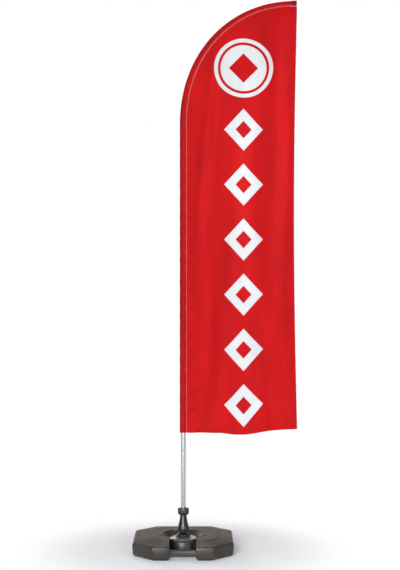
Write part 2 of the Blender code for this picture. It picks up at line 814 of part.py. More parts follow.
def wave(x, z, freedom):
    """How far the hanging cloth stands out of its plane. It grows from the seam, where freedom is 0."""
    long_fold = math.sin(math.tau * x / long_wave + 1.3 * z)
    short_fold = 0.45 * math.sin(math.tau * x / short_wave - 1.9 * z + 0.6)
    return wave_depth * freedom * (long_fold + short_fold)


def panel_ends(along):
    """A row's left and right end, at a length along the flag's outer edge. Rows fan out near the tip."""
    share = along / edge_length
    beside_pocket = smooth_step(along, edge_length - 2.5 * pocket_length, edge_length - 1.4 * pocket_length)
    clear = fit + (2 * cloth + 4 * fit) * beside_pocket

    def inside_sleeve(at, gap):
        point, inward, _ = on_edge(at)
        return point + inward * (2 * sleeve_size(at)[0] + gap)

    top_x, top_z = inside_sleeve(edge_length, 2 * cloth + 5 * fit)
    right_x = top_x + free_edge_reach - flag_hollow * math.sin(math.pi * share)
    return inside_sleeve(along, clear), np.array([right_x, flag_bottom + (top_z - flag_bottom) * share])


def hem_lift(across):
    """The bottom hem sags a little before the middle and then rises to the free corner."""
    sag = smooth_step(across, 0.3, 0.45) * (1 - smooth_step(across, 0.5, 0.75))
    return bottom_rise * smooth_step(across, 0.5, 1.0) - bottom_sag * sag


def panel_face(side):
    """Rows of points on the panel's front, for side -1, or its back, for side 1."""
    rows = []
    for along in sleeve_stations():
        left, right = panel_ends(along)
        width, hang = np.linalg.norm(right - left), (1 - along / edge_length) ** 6
        row = []
        for across in np.linspace(0.0, 1.0, panel_columns + 1):
            x, z = left + (right - left) * across
            freedom = smooth_step(across * width, 0.0, free_from_seam)
            row.append((x, wave(x, z, freedom) + side * cloth / 2, z + hang * hem_lift(across)))
        rows.append(row)
    return rows


def build_panel():
    """Each row is a loop, out along the front and home along the back, so that the rows can be skinned."""
    loops = [front + back[::-1] for front, back in zip(panel_face(-1), panel_face(1))]
    finished("flag_panel", lofted_shape(loops, strip=True), red_cloth, 60.0)


build_tank()
build_water()
build_filler()
build_spindle()
build_plate()
build_hub()
build_bearings()
build_cone()
build_collet()
build_collar()
build_pole()
build_rod()
build_tip_cap()
build_sleeve()
build_tip_pocket()
build_panel()
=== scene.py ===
import math

import bmesh
import bpy
import numpy as np
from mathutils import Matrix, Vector


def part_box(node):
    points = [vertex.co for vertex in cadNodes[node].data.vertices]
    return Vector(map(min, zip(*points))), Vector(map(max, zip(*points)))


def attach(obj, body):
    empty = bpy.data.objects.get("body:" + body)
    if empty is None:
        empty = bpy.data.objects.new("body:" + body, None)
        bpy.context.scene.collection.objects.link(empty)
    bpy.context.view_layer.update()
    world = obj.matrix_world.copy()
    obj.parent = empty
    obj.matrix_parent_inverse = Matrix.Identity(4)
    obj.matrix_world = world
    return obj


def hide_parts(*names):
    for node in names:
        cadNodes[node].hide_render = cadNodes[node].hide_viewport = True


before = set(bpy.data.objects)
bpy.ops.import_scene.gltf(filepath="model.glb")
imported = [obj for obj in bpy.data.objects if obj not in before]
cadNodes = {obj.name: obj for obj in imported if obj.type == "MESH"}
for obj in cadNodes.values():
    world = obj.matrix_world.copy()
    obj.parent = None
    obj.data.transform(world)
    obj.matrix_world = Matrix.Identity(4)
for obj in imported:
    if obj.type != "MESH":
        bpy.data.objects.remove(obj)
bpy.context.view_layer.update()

tau = math.tau


# Working helpers

def deselectAll():
    if bpy.context.mode != "OBJECT":
        bpy.ops.object.mode_set(mode="OBJECT")
    bpy.ops.object.select_all(action="DESELECT")


def makeActive(piece):
    deselectAll()
    piece.select_set(True)
    bpy.context.view_layer.objects.active = piece


def added(name, make, scale=(1, 1, 1), **settings):
    # a new primitive, with its place and size baked into its mesh
    deselectAll()
    make(**settings)
    piece = bpy.context.object
    piece.name = name
    piece.data.name = name
    piece.scale = scale
    bakePlace(piece)
    return piece


def editOn(piece):
    makeActive(piece)
    bpy.ops.object.mode_set(mode="EDIT")


def editOff():
    bpy.ops.object.mode_set(mode="OBJECT")


def pick(piece, kind, test):
    # selects the vertices, edges or faces whose middle passes the test, in edit mode
    bpy.ops.mesh.select_mode(type=kind)
    bpy.ops.mesh.select_all(action="DESELECT")
    work = bmesh.from_edit_mesh(piece.data)
    parts = {"VERT": work.verts, "EDGE": work.edges, "FACE": work.faces}[kind]
    for part in parts:
        if kind == "VERT":
            part.select_set(bool(test(part.co)))
        elif kind == "EDGE":
            a, b = part.verts
            part.select_set(bool(test((a.co + b.co) / 2, b.co - a.co)))
        else:
            part.select_set(bool(test(part.calc_center_median(), part.normal)))
    work.select_flush_mode()
    bmesh.update_edit_mesh(piece.data)


def bakePlace(piece):
    makeActive(piece)
    bpy.ops.object.transform_apply(location=True, rotation=True, scale=True)


def applyModifier(piece, kind, **settings):
    makeActive(piece)
    modifier = piece.modifiers.new(kind.title(), kind)
    for key, value in settings.items():
        setattr(modifier, key, value)
    bpy.ops.object.modifier_apply(modifier=modifier.name)


def combine(piece, operation, *tools):
    for tool in tools:
        applyModifier(piece, "BOOLEAN", operation=operation, object=tool, solver="EXACT")
        bpy.data.objects.remove(tool)


def pickAll():
    bpy.ops.mesh.select_all(action="SELECT")


def mergeClose(threshold=0.00002):
    pickAll()
    bpy.ops.mesh.remove_doubles(threshold=threshold)


def turnOut(piece):
    editOn(piece)
    mergeClose()
    bpy.ops.mesh.normals_make_consistent(inside=False)
    editOff()


def smooth(piece, angle):
    makeActive(piece)
    bpy.ops.object.shade_smooth_by_angle(angle=math.radians(angle))


def soften(piece, width, segments=3, angle=30.0, smoothAngle=38.0, clamp=True):
    applyModifier(piece, "BEVEL", width=width, segments=segments, limit_method="ANGLE",
                  angle_limit=math.radians(angle), use_clamp_overlap=clamp)
    smooth(piece, smoothAngle)


def drawOut(rise, share, centre):
    # what is picked is drawn up by rise, then scaled by share about the centre
    bpy.ops.mesh.extrude_region_move(TRANSFORM_OT_translate={"value": (0, 0, rise)})
    bpy.ops.transform.resize(value=(share, share, 1), center_override=centre)


def turnedPiece(name, profile, segments=72, centre=(0.0, 0.0), joined=False):
    # a ring is drawn out and scaled from each (radius, height) to the next
    radius, height = profile[0]
    piece = added(name, bpy.ops.mesh.primitive_circle_add, vertices=segments, radius=radius,
                  location=(*centre, height))
    editOn(piece)
    bpy.ops.mesh.select_mode(type="EDGE")
    pickAll()
    for nextRadius, nextHeight in profile[1:] + (profile[:1] if joined else []):
        drawOut(nextHeight - height, nextRadius / radius, (*centre, nextHeight))
        radius, height = nextRadius, nextHeight
    mergeClose()
    if not joined:
        bpy.ops.mesh.fill_holes(sides=0)
    bpy.ops.mesh.normals_make_consistent(inside=False)
    editOff()
    return piece


def boxTool(name, low, high):
    middle = [(a + b) / 2 for a, b in zip(low, high)]
    size = [b - a for a, b in zip(low, high)]
    return added(name, bpy.ops.mesh.primitive_cube_add, size, size=1, location=middle)


def ringSpots(count, far):
    # even places round a ring, the first of them half a step on
    turns = [(index + 0.5) * tau / count for index in range(count)]
    return [(far * math.cos(turn), far * math.sin(turn)) for turn in turns]


def sizes(look, keys):
    return [look[key] for key in keys.split()]


def meshPiece(name, points, faces):
    mesh = bpy.data.meshes.new(name)
    mesh.from_pydata([tuple(point) for point in points], [], [tuple(face) for face in faces])
    mesh.validate()
    piece = bpy.data.objects.new(name, mesh)
    bpy.context.scene.collection.objects.link(piece)
    return piece


def place(piece, body, finish, stands=()):
    piece.data.materials.clear()
    piece.data.materials.append(finish)
    if stands:
        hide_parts(*stands)
    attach(piece, body)
    return piece


# Finishes

def startFinish(name, roughness, metallic=0.0, **sockets):
    made = bpy.data.materials.new(name)
    made.use_nodes = True
    shader = made.node_tree.nodes["Principled BSDF"]
    shader.inputs["Metallic"].default_value = metallic
    shader.inputs["Roughness"].default_value = roughness
    for socket, value in sockets.items():
        shader.inputs[socket.replace("_", " ")].default_value = value
    return made, made.node_tree, shader


def addNode(tree, kind, **settings):
    node = tree.nodes.new(kind)
    for key, value in settings.items():
        if key in node.inputs:
            node.inputs[key].default_value = value
        else:
            setattr(node, key, value)
    return node


def feed(tree, socket, value):
    # a socket takes a number, a colour or another node's output
    if isinstance(value, (int, float)):
        socket.default_value = value
    elif isinstance(value, tuple):
        socket.default_value = (*value, 1.0)
    else:
        tree.links.new(value, socket)


def mathNode(tree, operation, *values, clamp=False):
    node = tree.nodes.new("ShaderNodeMath")
    node.operation = operation
    node.use_clamp = clamp
    for socket, value in zip(node.inputs, values):
        feed(tree, socket, value)
    return node.outputs[0]


def blended(tree, first, firstShare, second, secondShare):
    return mathNode(tree, "ADD", mathNode(tree, "MULTIPLY", first, firstShare),
                    mathNode(tree, "MULTIPLY", second, secondShare))


def coordinates(tree, source="Object", scale=(1, 1, 1), turn=(0, 0, 0)):
    where = tree.nodes.new("ShaderNodeTexCoord")
    mapping = tree.nodes.new("ShaderNodeMapping")
    mapping.inputs["Scale"].default_value = scale
    mapping.inputs["Rotation"].default_value = turn
    tree.links.new(where.outputs[source], mapping.inputs["Vector"])
    return mapping.outputs["Vector"]


def noise(tree, vector, scale, detail=4.0, roughness=0.55):
    node = addNode(tree, "ShaderNodeTexNoise", Scale=scale, Detail=detail, Roughness=roughness)
    tree.links.new(vector, node.inputs["Vector"])
    return node.outputs["Fac"]


def ramp(tree, value, stops):
    node = tree.nodes.new("ShaderNodeValToRGB")
    band = node.color_ramp
    while len(band.elements) < len(stops):
        band.elements.new(0.5)
    for element, (position, colour) in zip(band.elements, stops):
        element.position = position
        element.color = (*colour, 1.0)
    tree.links.new(value, node.inputs["Fac"])
    return node.outputs["Color"]


def rampInto(tree, shader, socket, value, stops):
    tree.links.new(ramp(tree, value, stops), shader.inputs[socket])


def grey(value):
    return (value, value, value)


def mixColour(tree, share, first, second):
    node = tree.nodes.new("ShaderNodeMix")
    node.data_type = "RGBA"
    for index, value in ((0, share), (6, first), (7, second)):    # 6 and 7 are its two colours
        feed(tree, node.inputs[index], value)
    return node.outputs[2]


def addBump(tree, shader, heights):
    # heights is a list of (output, strength, distance), coarse first
    last = None
    for height, strength, distance in heights:
        bump = addNode(tree, "ShaderNodeBump", Strength=strength, Distance=distance)
        tree.links.new(height, bump.inputs["Height"])
        if last:
            tree.links.new(last, bump.inputs["Normal"])
        last = bump.outputs["Normal"]
    tree.links.new(last, shader.inputs["Normal"])


def mouldedPlastic(name, dark, pale, roughness, grain=900.0, scuffs=0.5, **sockets):
    # painted shade darkens its creases, with pale rubbed edges that a patchy noise breaks up
    made, tree, shader = startFinish(name, roughness, **sockets)
    vector = coordinates(tree)
    cloud = ramp(tree, noise(tree, vector, 9.0, 5.0), [(0.30, dark), (0.72, pale)])
    sharp = tree.nodes.new("ShaderNodeNewGeometry").outputs["Pointiness"]
    # painted shade: concave creases, where shade falls, are darkened to 0.3 of the dark tone
    crease = ramp(tree, sharp, [(0.44, grey(0.0)), (0.492, grey(1.0))])
    creaseShaded = mixColour(tree, crease, tuple(0.30 * part for part in dark), cloud)
    edge = ramp(tree, sharp, [(0.53, grey(0.0)), (0.60, grey(1.0))])
    patch = ramp(tree, noise(tree, vector, 60.0), [(0.42, grey(0.0)), (0.62, grey(1.0))])
    rubbed = mathNode(tree, "MULTIPLY", mathNode(tree, "MULTIPLY", edge, patch), 0.35 * scuffs)
    wornAndShaded = mixColour(tree, rubbed, creaseShaded, tuple(min(1.0, 3.2 * part + 0.03) for part in pale))
    tree.links.new(wornAndShaded, shader.inputs["Base Color"])
    streaks = noise(tree, coordinates(tree, scale=(1, 1, 6)), 26.0, 6.0, 0.62)
    sheen = [(0.3, grey(roughness - 0.07)), (0.7, grey(roughness + 0.09))]
    rampInto(tree, shader, "Roughness", streaks, sheen)
    addBump(tree, shader, [(noise(tree, vector, 32.0, 2.0), 0.10, 0.0012),
                           (noise(tree, vector, grain, 2.0), 0.16, 0.0002)])
    return made


def brushedMetal(name, dark, pale, roughness, scale=(1, 1, 0.02), grain=1400.0):
    made, tree, shader = startFinish(name, roughness, 1.0)
    lines = noise(tree, coordinates(tree, scale=scale), grain, 3.0, 0.6)
    cloud = noise(tree, coordinates(tree), 14.0, 4.0)
    tone = blended(tree, lines, 0.6, cloud, 0.4)
    rampInto(tree, shader, "Base Color", tone, [(0.30, dark), (0.70, pale)])
    sheen = [(0.30, grey(roughness + 0.06)), (0.70, grey(roughness - 0.05))]
    rampInto(tree, shader, "Roughness", tone, sheen)
    addBump(tree, shader, [(lines, 0.10, 0.0001)])
    return made


def weaveHeight(tree, vector, pitch):
    # over and under threads of a close fabric, pitch in metres
    heights = []
    bandsPerMetre = 3.18    # of a wave texture at scale 1
    for axis in ("X", "Y"):
        wave = addNode(tree, "ShaderNodeTexWave", Scale=1 / pitch / bandsPerMetre, Distortion=0.0)
        wave.wave_type = "BANDS"
        wave.bands_direction = axis
        tree.links.new(vector, wave.inputs["Vector"])
        heights.append(wave.outputs["Fac"])
    return mathNode(tree, "MULTIPLY", heights[0], heights[1])


clothLook = {
    "red": (0.400, 0.0016, 0.0030),
    "shadedDeepRed": (0.290, 0.0012, 0.0022),
    "white": (0.500, 0.518, 0.540),
    "shadeWhite": (0.440, 0.458, 0.480),
    "threadPitch": 0.0011,
    "centre": (0.304, 2.432),
    "emblem": 0.149,
    "ringShare": 0.87,
    "discShare": 0.78,
    "cutShare": 0.50,
    "columnTop": 2.227,
    "markCount": 6,
    "markPitch": 0.2775,
    "markHalfWidth": 0.098,
    "markHalfHeight": 0.106,
    "markHole": 0.42,
}


def printMask(tree, vector):
    # a ringed disc over a column of plain diamonds, laid out in metres on the cloth
    look = clothLook

    def do(operation, *values):
        return mathNode(tree, operation, *values)

    def under(value, limit):
        return do("LESS_THAN", value, limit)

    split = tree.nodes.new("ShaderNodeSeparateXYZ")
    tree.links.new(vector, split.inputs[0])
    height = split.outputs["Y"]
    across = do("SUBTRACT", split.outputs["X"], look["centre"][0])
    up = do("SUBTRACT", height, look["centre"][1])
    far = do("SQRT", do("ADD", do("MULTIPLY", across, across), do("MULTIPLY", up, up)))
    aside = do("ABSOLUTE", across)
    square = do("ADD", aside, do("ABSOLUTE", up))
    radius, inRing, inDisc, cut = sizes(look, "emblem ringShare discShare cutShare")
    ring = do("SUBTRACT", under(far, radius), under(far, radius * inRing))
    disc = do("SUBTRACT", under(far, radius * inDisc), under(square, radius * cut))

    down = do("SUBTRACT", look["columnTop"], height)
    inside = do("MULTIPLY", do("GREATER_THAN", down, 0.0), under(down, look["markPitch"] * look["markCount"]))
    local = do("ABSOLUTE", do("SUBTRACT", do("MODULO", down, look["markPitch"]), look["markHalfHeight"]))
    reach = do("ADD", do("DIVIDE", aside, look["markHalfWidth"]), do("DIVIDE", local, look["markHalfHeight"]))
    diamond = do("SUBTRACT", under(reach, 1.0), under(reach, look["markHole"]))
    return mathNode(tree, "ADD", do("ADD", ring, disc), do("MULTIPLY", diamond, inside), clamp=True)


def flagCloth(name, printed, tone=1.0):
    made, tree, shader = startFinish(name, 0.50, Sheen_Weight=0.04, Sheen_Roughness=0.30,
                                     Sheen_Tint=(1.0, 0.05, 0.06, 1.0), Specular_IOR_Level=0.03)
    cloth = coordinates(tree, "UV")
    # streaky tone between shadedDeepRed and red: partly dye variation, partly painted shade of long folds;
    # shadeWhite gives the white print the same painted shade
    streak = noise(tree, coordinates(tree, "UV", scale=(1, 0.22, 1)), 11.0, 5.0, 0.6)
    mottle = noise(tree, cloth, 260.0, 3.0)
    blend = blended(tree, streak, 0.75, mottle, 0.25)
    shadedDeep, full = (tuple(tone * part for part in clothLook[key]) for key in ("shadedDeepRed", "red"))
    weave = weaveHeight(tree, cloth, clothLook["threadPitch"])
    threads = ramp(tree, weave, [(0.0, grey(0.05)), (0.6, (0.8, 0.02, 0.03))])
    colour = mixColour(tree, 0.10, ramp(tree, blend, [(0.33, shadedDeep), (0.62, full)]), threads)
    if printed:
        white = ramp(tree, blend, [(0.33, clothLook["shadeWhite"]), (0.62, clothLook["white"])])
        colour = mixColour(tree, printMask(tree, cloth), colour, white)
    tree.links.new(colour, shader.inputs["Base Color"])
    rampInto(tree, shader, "Roughness", blend, [(0.3, grey(0.52)), (0.7, grey(0.42))])
    crinkle = noise(tree, coordinates(tree, "UV", scale=(1, 0.35, 1)), 45.0, 4.0, 0.5)
    addBump(tree, shader, [(crinkle, 0.20, 0.0016), (weave, 0.35, 0.00025)])
    return made


def grainFinish(name, roughness, dark, pale, grain, bump=None, **sockets):
    # grain is a noise's scale and detail; bump is its scale, stretch, strength and depth
    made, tree, shader = startFinish(name, roughness, **sockets)
    rampInto(tree, shader, "Base Color", noise(tree, coordinates(tree), *grain), [(0.3, dark), (0.7, pale)])
    if bump:
        scale, stretch, strength, depth = bump
        height = noise(tree, coordinates(tree, scale=(1, 1, stretch)), scale, 2.0)
        addBump(tree, shader, [(height, strength, depth)])
    return made


def threadFinish(name, dark, pale):
    twist = (2200.0, 3, 0.4, 0.0002)
    return grainFinish(name, 0.6, dark, pale, (800.0, 2.0), twist, Specular_IOR_Level=0.15)


def webFinish(name):
    made, tree, shader = startFinish(name, 0.7, Specular_IOR_Level=0.10)
    wave = addNode(tree, "ShaderNodeTexWave", Scale=260.0, Distortion=1.2, bands_direction="DIAGONAL")
    tree.links.new(coordinates(tree, turn=(0, 0.3, 0)), wave.inputs["Vector"])
    ribs = wave.outputs["Fac"]
    rampInto(tree, shader, "Base Color", ribs, [(0.1, (0.11, 0.003, 0.004)), (0.8, (0.23, 0.005, 0.008))])
    addBump(tree, shader, [(ribs, 0.5, 0.0004)])
    return made


def fibreFinish(name):
    # wound glass fibre under a thin gel coat
    made, tree, shader = startFinish(name, 0.3, Coat_Weight=0.3, Coat_Roughness=0.2)
    strands = noise(tree, coordinates(tree, scale=(1, 1, 0.04)), 1800.0, 4.0, 0.6)
    rampInto(tree, shader, "Base Color", strands, [(0.35, grey(0.018)), (0.70, (0.070, 0.068, 0.062))])
    addBump(tree, shader, [(strands, 0.2, 0.0001)])
    return made


tankFinish = mouldedPlastic("tankPlastic", (0.020, 0.018, 0.016), (0.036, 0.031, 0.027), 0.38, scuffs=0.7,
                           Specular_IOR_Level=0.38)
hubFinish = mouldedPlastic("hubPlastic", grey(0.007), (0.015, 0.0142, 0.0135), 0.32, 1200.0, 0.4)
capFinish = mouldedPlastic("capPlastic", grey(0.016), grey(0.030), 0.42, 1100.0, 0.5)
nylonFinish = mouldedPlastic("naturalNylon", (0.48, 0.47, 0.42), (0.60, 0.59, 0.54), 0.45, 700.0, 0.1,
                             Subsurface_Weight=0.12)
rubberFinish = grainFinish("softRubber", 0.82, grey(0.012), grey(0.024), (40.0, 5.0),
                           (1500.0, 1, 0.3, 0.0002), Specular_IOR_Level=0.3)
waterFinish = grainFinish("tankWater", 0.06, (0.62, 0.72, 0.74), (0.74, 0.82, 0.83), (12.0, 3.0), IOR=1.33,
                          Transmission_Weight=0.85)
tubeFinish = brushedMetal("anodisedTube", (0.40, 0.41, 0.43), (0.54, 0.555, 0.58), 0.27)
zincFinish = brushedMetal("zincSteel", (0.64, 0.65, 0.66), (0.86, 0.87, 0.88), 0.34, (1, 1, 1), 260.0)
bearingFinish = brushedMetal("bearingSteel", (0.46, 0.46, 0.47), (0.62, 0.62, 0.63), 0.18, (1, 1, 9), 500.0)
brassFinish = brushedMetal("turnedBrass", (0.44, 0.31, 0.11), (0.62, 0.46, 0.20), 0.30, (1, 1, 9), 500.0)
rodFinish = fibreFinish("woundFibre")
panelFinish = flagCloth("printedCloth", True)
# the sleeve's cloth is darkened to 0.84 of the panel's red, painted shade of its rounded tube
shadedSleeveFinish = flagCloth("shadedSleeveCloth", False, 0.84)
hemFinish = flagCloth("hemCloth", False, 0.97)
paleThread = threadFinish("paleThread", (0.40, 0.11, 0.115), (0.50, 0.19, 0.19))
tapeFinish = threadFinish("seamTape", (0.33, 0.026, 0.030), (0.42, 0.050, 0.054))
redThread = threadFinish("redThread", (0.42, 0.007, 0.010), (0.60, 0.012, 0.016))
pocketFinish = webFinish("tipWebbing")
print("finishes made")


# Tank: the plain block is drawn up and down from its parting line

tankLook = {
    "half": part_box("tank_shell")[1].x,
    "corner": 0.147,
    "footInset": 0.012,
    "footHeight": 0.012,
    "footTaper": 0.003,
    "sideTaper": 0.001,
    "parting": 0.045,
    "rimHeight": 0.068,
    "rimBevel": 0.007,
    "stepHeight": 0.0026,
    "stepInset": 0.0015,
    "plateauHeight": 0.081,
    "plateauHalf": 0.171,
    "plateauCorner": 0.107,
    "wall": 0.004,
    "wellRadius": 0.071,
    "wellFloor": 0.052,
    "lipRadius": 0.083,
    "lipHeight": 0.061,
    "dishRadius": 0.107,
    "notchHalf": 0.065,
    "bossHalf": 0.044,
    "bossRadius": 0.088,
    "bossDraft": 0.0075,
    "draftRun": 1.7,
    "bossTop": 0.0545,
    "pocketRadius": 0.0765,
    "handleFront": 0.010,
    "handleDepth": 0.028,
    "handleUnder": 0.017,
    "handleTop": 0.048,
    "archFlare": 0.010,
    "columnRadius": 0.0178,
    "neckRadius": 0.019,
    "neckBore": 0.015,
    "neckBoreFrom": 0.069,
    "insertBore": 0.0128,
    "insertFloor": 0.0112,
    "neckTop": 0.088,
    "fillerY": (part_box("filler_cap")[0].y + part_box("filler_cap")[1].y) / 2,
    "grooveFrom": (0.1060, -0.0330),
    "grooveTo": (0.1215, -0.0640),
    "grooveWidth": 0.0042,
    "grooveDepth": 0.0030,
    "edgeRound": 0.0021,
}


def octagon(name, half, corner, height):
    # a flat plate with its corners cut off, left in edit mode with its face picked
    piece = added(name, bpy.ops.mesh.primitive_plane_add, size=2 * half, location=(0, 0, height))
    editOn(piece)
    pickAll()
    bpy.ops.mesh.bevel(offset=half - corner, segments=1, affect="VERTICES")
    pick(piece, "FACE", lambda middle, normal: True)
    return piece


def tankBlock(name, grow):
    # grow moves every wall inwards, for the hollow
    look = tankLook
    half, corner, parting = look["half"] - grow, look["corner"] - 0.414 * grow, look["parting"]
    plateauHalf, plateauTop = look["plateauHalf"], look["plateauHeight"]
    piece = octagon(name, half, corner, parting)
    upper = [(half - look["sideTaper"], look["rimHeight"] - look["rimBevel"]),
             (half - look["rimBevel"], look["rimHeight"] - grow / 2),
             (plateauHalf + look["stepInset"] - grow / 4, plateauTop - look["stepHeight"] - grow),
             (plateauHalf - grow / 4, plateauTop - grow)]
    lower = [(half - look["footTaper"], look["footHeight"]), (half - look["footInset"], grow)]
    for stations in (upper, lower):
        pick(piece, "FACE", lambda middle, normal: abs(middle.z - parting) < 1e-5)
        now, height = half, parting
        for index, (nextHalf, nextHeight) in enumerate(stations):
            drawOut(nextHeight - height, nextHalf / now, (0, 0, nextHeight))
            now, height = nextHalf, nextHeight
            if index != 2:
                continue
            share = (look["plateauCorner"] + 0.0006 - 0.1 * grow) / (corner * now / half)
            for axis in (0, 1):    # the plateau's corners are cut less than the rim's
                pick(piece, "VERT", lambda co: abs(co.z - height) < 1e-5 and abs(co[axis]) < 0.8 * now)
                scale = [1, 1, 1]
                scale[axis] = share
                bpy.ops.transform.resize(value=scale, center_override=(0, 0, height))
            pick(piece, "FACE", lambda middle, normal: abs(middle.z - height) < 1e-5)
    editOff()
    turnOut(piece)
    return piece


def notchTool(name, grow):
    # the recess, less the boss that its back wall stands out on and the ring round the well
    look = tankLook
    half, reach = look["notchHalf"] + grow, look["bossHalf"] - grow
    boss, pocket = look["bossRadius"] - grow, look["pocketRadius"] - grow
    foot, top = -0.04, 0.14
    if grow:
        profile = [(boss, foot), (boss, top)]
    else:
        profile = [(boss + look["bossDraft"] * look["draftRun"], foot), (boss, look["bossTop"]),
                   (pocket, look["lipHeight"]), (pocket, top)]
    tool = boxTool(name, (-half, -look["half"] - 0.02, -0.02), (half, 0, 0.12))
    middle = turnedPiece("bossKeep", profile, 160)
    combine(middle, "INTERSECT", boxTool("bossSides", (-reach, -0.2, -0.03), (reach, 0.0, 0.13)))
    combine(tool, "DIFFERENCE", middle, turnedPiece("pocketKeep", [(pocket, foot), (pocket, top)], 160))
    return tool


def wellTool(name, grow):
    look = tankLook
    well, dish, above = look["wellRadius"] + grow, look["dishRadius"] + grow, 0.02
    lip = look["lipHeight"] - (grow + 0.0065 if grow else 0.0)
    slope = (look["dishRadius"] - look["lipRadius"]) / (look["plateauHeight"] - look["lipHeight"])
    return turnedPiece(name, [(well, look["wellFloor"] - grow), (well, lip), (look["lipRadius"] + grow, lip),
                              (dish + slope * above, look["plateauHeight"] + above)], 96)


def handleBar():
    look = tankLook
    front, end = -look["half"] + look["handleFront"], look["notchHalf"] + look["wall"]
    bar = boxTool("handleBar", (-end, front, look["handleUnder"]),
                  (end, front + look["handleDepth"], look["handleTop"]))
    editOn(bar)
    pick(bar, "EDGE", lambda middle, way: abs(way.x) > 0.05)
    bpy.ops.mesh.bevel(offset=0.006, segments=4, affect="EDGES")
    editOff()
    return bar


def archTool():
    # flares the foot of the notch's side walls
    look = tankLook
    half, front, top, below = look["notchHalf"], -look["half"], look["footHeight"], 0.02
    back = front + look["handleFront"] + look["handleDepth"] + 0.02
    tool = boxTool("archTool", (-half, front - 0.02, -below), (half, back, top))
    editOn(tool)
    pick(tool, "VERT", lambda co: co.z < 0)
    share = (half + look["archFlare"] * (top + below) / top) / half
    bpy.ops.transform.resize(value=(share, 1, 1), center_override=(0, 0, 0))
    editOff()
    return tool


def grooveTool(side):
    # a short moulded groove beside the dish
    look = tankLook
    start = Vector((side * look["grooveFrom"][0], look["grooveFrom"][1], 0))
    end = Vector((side * look["grooveTo"][0], look["grooveTo"][1], 0))
    run = (end - start).length
    width, depth, top = look["grooveWidth"], look["grooveDepth"], look["plateauHeight"]
    tool = boxTool("grooveTool", (-run / 2, -width / 2, top - depth), (run / 2, width / 2, top + 0.01))
    tool.location = (start + end) / 2
    tool.rotation_euler = (0, 0, math.atan2(end.y - start.y, end.x - start.x))
    bakePlace(tool)
    return tool


def buildTank():
    look = tankLook
    wall, neckCentre, above = look["wall"], (0.0, look["fillerY"]), 0.12
    tank = tankBlock("tankBody", 0.0)
    combine(tank, "DIFFERENCE", notchTool("notchTool", 0.0))
    combine(tank, "UNION", handleBar())
    combine(tank, "DIFFERENCE", archTool(), wellTool("wellTool", 0.0), grooveTool(-1), grooveTool(1))
    neck = [(look["neckRadius"], look["plateauHeight"] - 0.003), (look["neckRadius"], look["neckTop"])]
    combine(tank, "UNION", turnedPiece("fillerNeck", neck, 48, neckCentre))
    hollow = tankBlock("tankHollow", wall)
    column = turnedPiece("columnTool", [(look["columnRadius"], -0.03), (look["columnRadius"], above)], 48)
    combine(hollow, "DIFFERENCE", notchTool("notchHollow", wall), wellTool("wellHollow", wall), column)
    pocket = turnedPiece("pocketTool", [(look["insertBore"], look["insertFloor"]),
                                        (look["insertBore"], above)], 32)
    bore = [(look["neckBore"], look["neckBoreFrom"]), (look["neckBore"], above)]
    combine(tank, "DIFFERENCE", hollow, pocket, turnedPiece("boreTool", bore, 48, neckCentre))
    editOn(tank)
    mergeClose(0.0002)
    bpy.ops.mesh.dissolve_limited(angle_limit=math.radians(0.5))
    editOff()
    soften(tank, look["edgeRound"], 3, 24.0, 40.0, clamp=False)
    turnOut(tank)
    place(tank, "base", tankFinish, ["tank_shell"])


def buildPartingBead():
    # the thin raised line where the mould's halves met
    look = tankLook
    bead = octagon("partingBead", look["half"] + 0.0004, look["corner"] + 0.0002, look["parting"] - 0.0007)
    bpy.ops.mesh.extrude_region_move(TRANSFORM_OT_translate={"value": (0, 0, 0.0014)})
    editOff()
    turnOut(bead)
    editOn(bead)
    pick(bead, "FACE", lambda middle, normal: abs(normal.z) > 0.9)
    bpy.ops.mesh.inset(thickness=0.0030, use_individual=True)
    bpy.ops.mesh.delete(type="FACE")
    bpy.ops.mesh.select_mode(type="EDGE")
    bpy.ops.mesh.select_non_manifold()
    bpy.ops.mesh.bridge_edge_loops()
    editOff()
    turnOut(bead)
    combine(bead, "DIFFERENCE", notchTool("beadNotch", 0.0))
    soften(bead, 0.0004, 2, 40.0)
    place(bead, "base", tankFinish)


buildTank()
buildPartingBead()
print("tank made")


# Filler cap, with a ribbed grip

capLook = {"outer": 0.0227, "skirt": 0.0202, "bottom": 0.082, "roof": 0.0901, "top": 0.0926, "ribs": 36,
           "ribDepth": 0.0007}


def buildCap():
    outer, skirt, bottom, roof, top, ribs, depth = sizes(capLook, "outer skirt bottom roof top ribs ribDepth")
    centre, ribTop = (0.0, tankLook["fillerY"]), top - 0.0022
    cap = turnedPiece("fillerCap", [
        (skirt * 0.2, roof), (skirt, roof), (skirt, bottom), (outer - depth, bottom), (outer - depth, ribTop),
        (outer - 0.0022, top - 0.0004), (outer - 0.006, top), (outer - 0.0068, top - 0.0006),
        (outer * 0.2, top - 0.0006),
    ], ribs * 2, centre)
    editOn(cap)

    def grip(middle, normal):
        x, y = middle.x, middle.y - centre[1]
        everyOther = int(math.floor(math.atan2(y, x) * ribs * 2 / tau)) % 2 == 0
        return bottom + 0.001 < middle.z < ribTop and math.hypot(x, y) > skirt + 0.001 and everyOther

    pick(cap, "FACE", grip)
    bpy.ops.mesh.inset(thickness=0.00025, use_individual=True)
    bpy.ops.transform.resize(value=(1.035, 1.035, 1), center_override=(*centre, bottom))
    editOff()
    turnOut(cap)
    soften(cap, 0.0003, 2, 40.0)
    place(cap, "filler_cap", capFinish, ["filler_cap"])


buildCap()
print("filler cap made")


# Plate, hub, cone and collar

plateLook = {"radius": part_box("clamp_plate")[1].x, "top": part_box("clamp_plate")[1].z, "thickness": 0.0025,
             "bottom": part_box("clamp_plate")[0].z, "hole": 0.0083, "rim": 0.0625, "seat": 0.036}


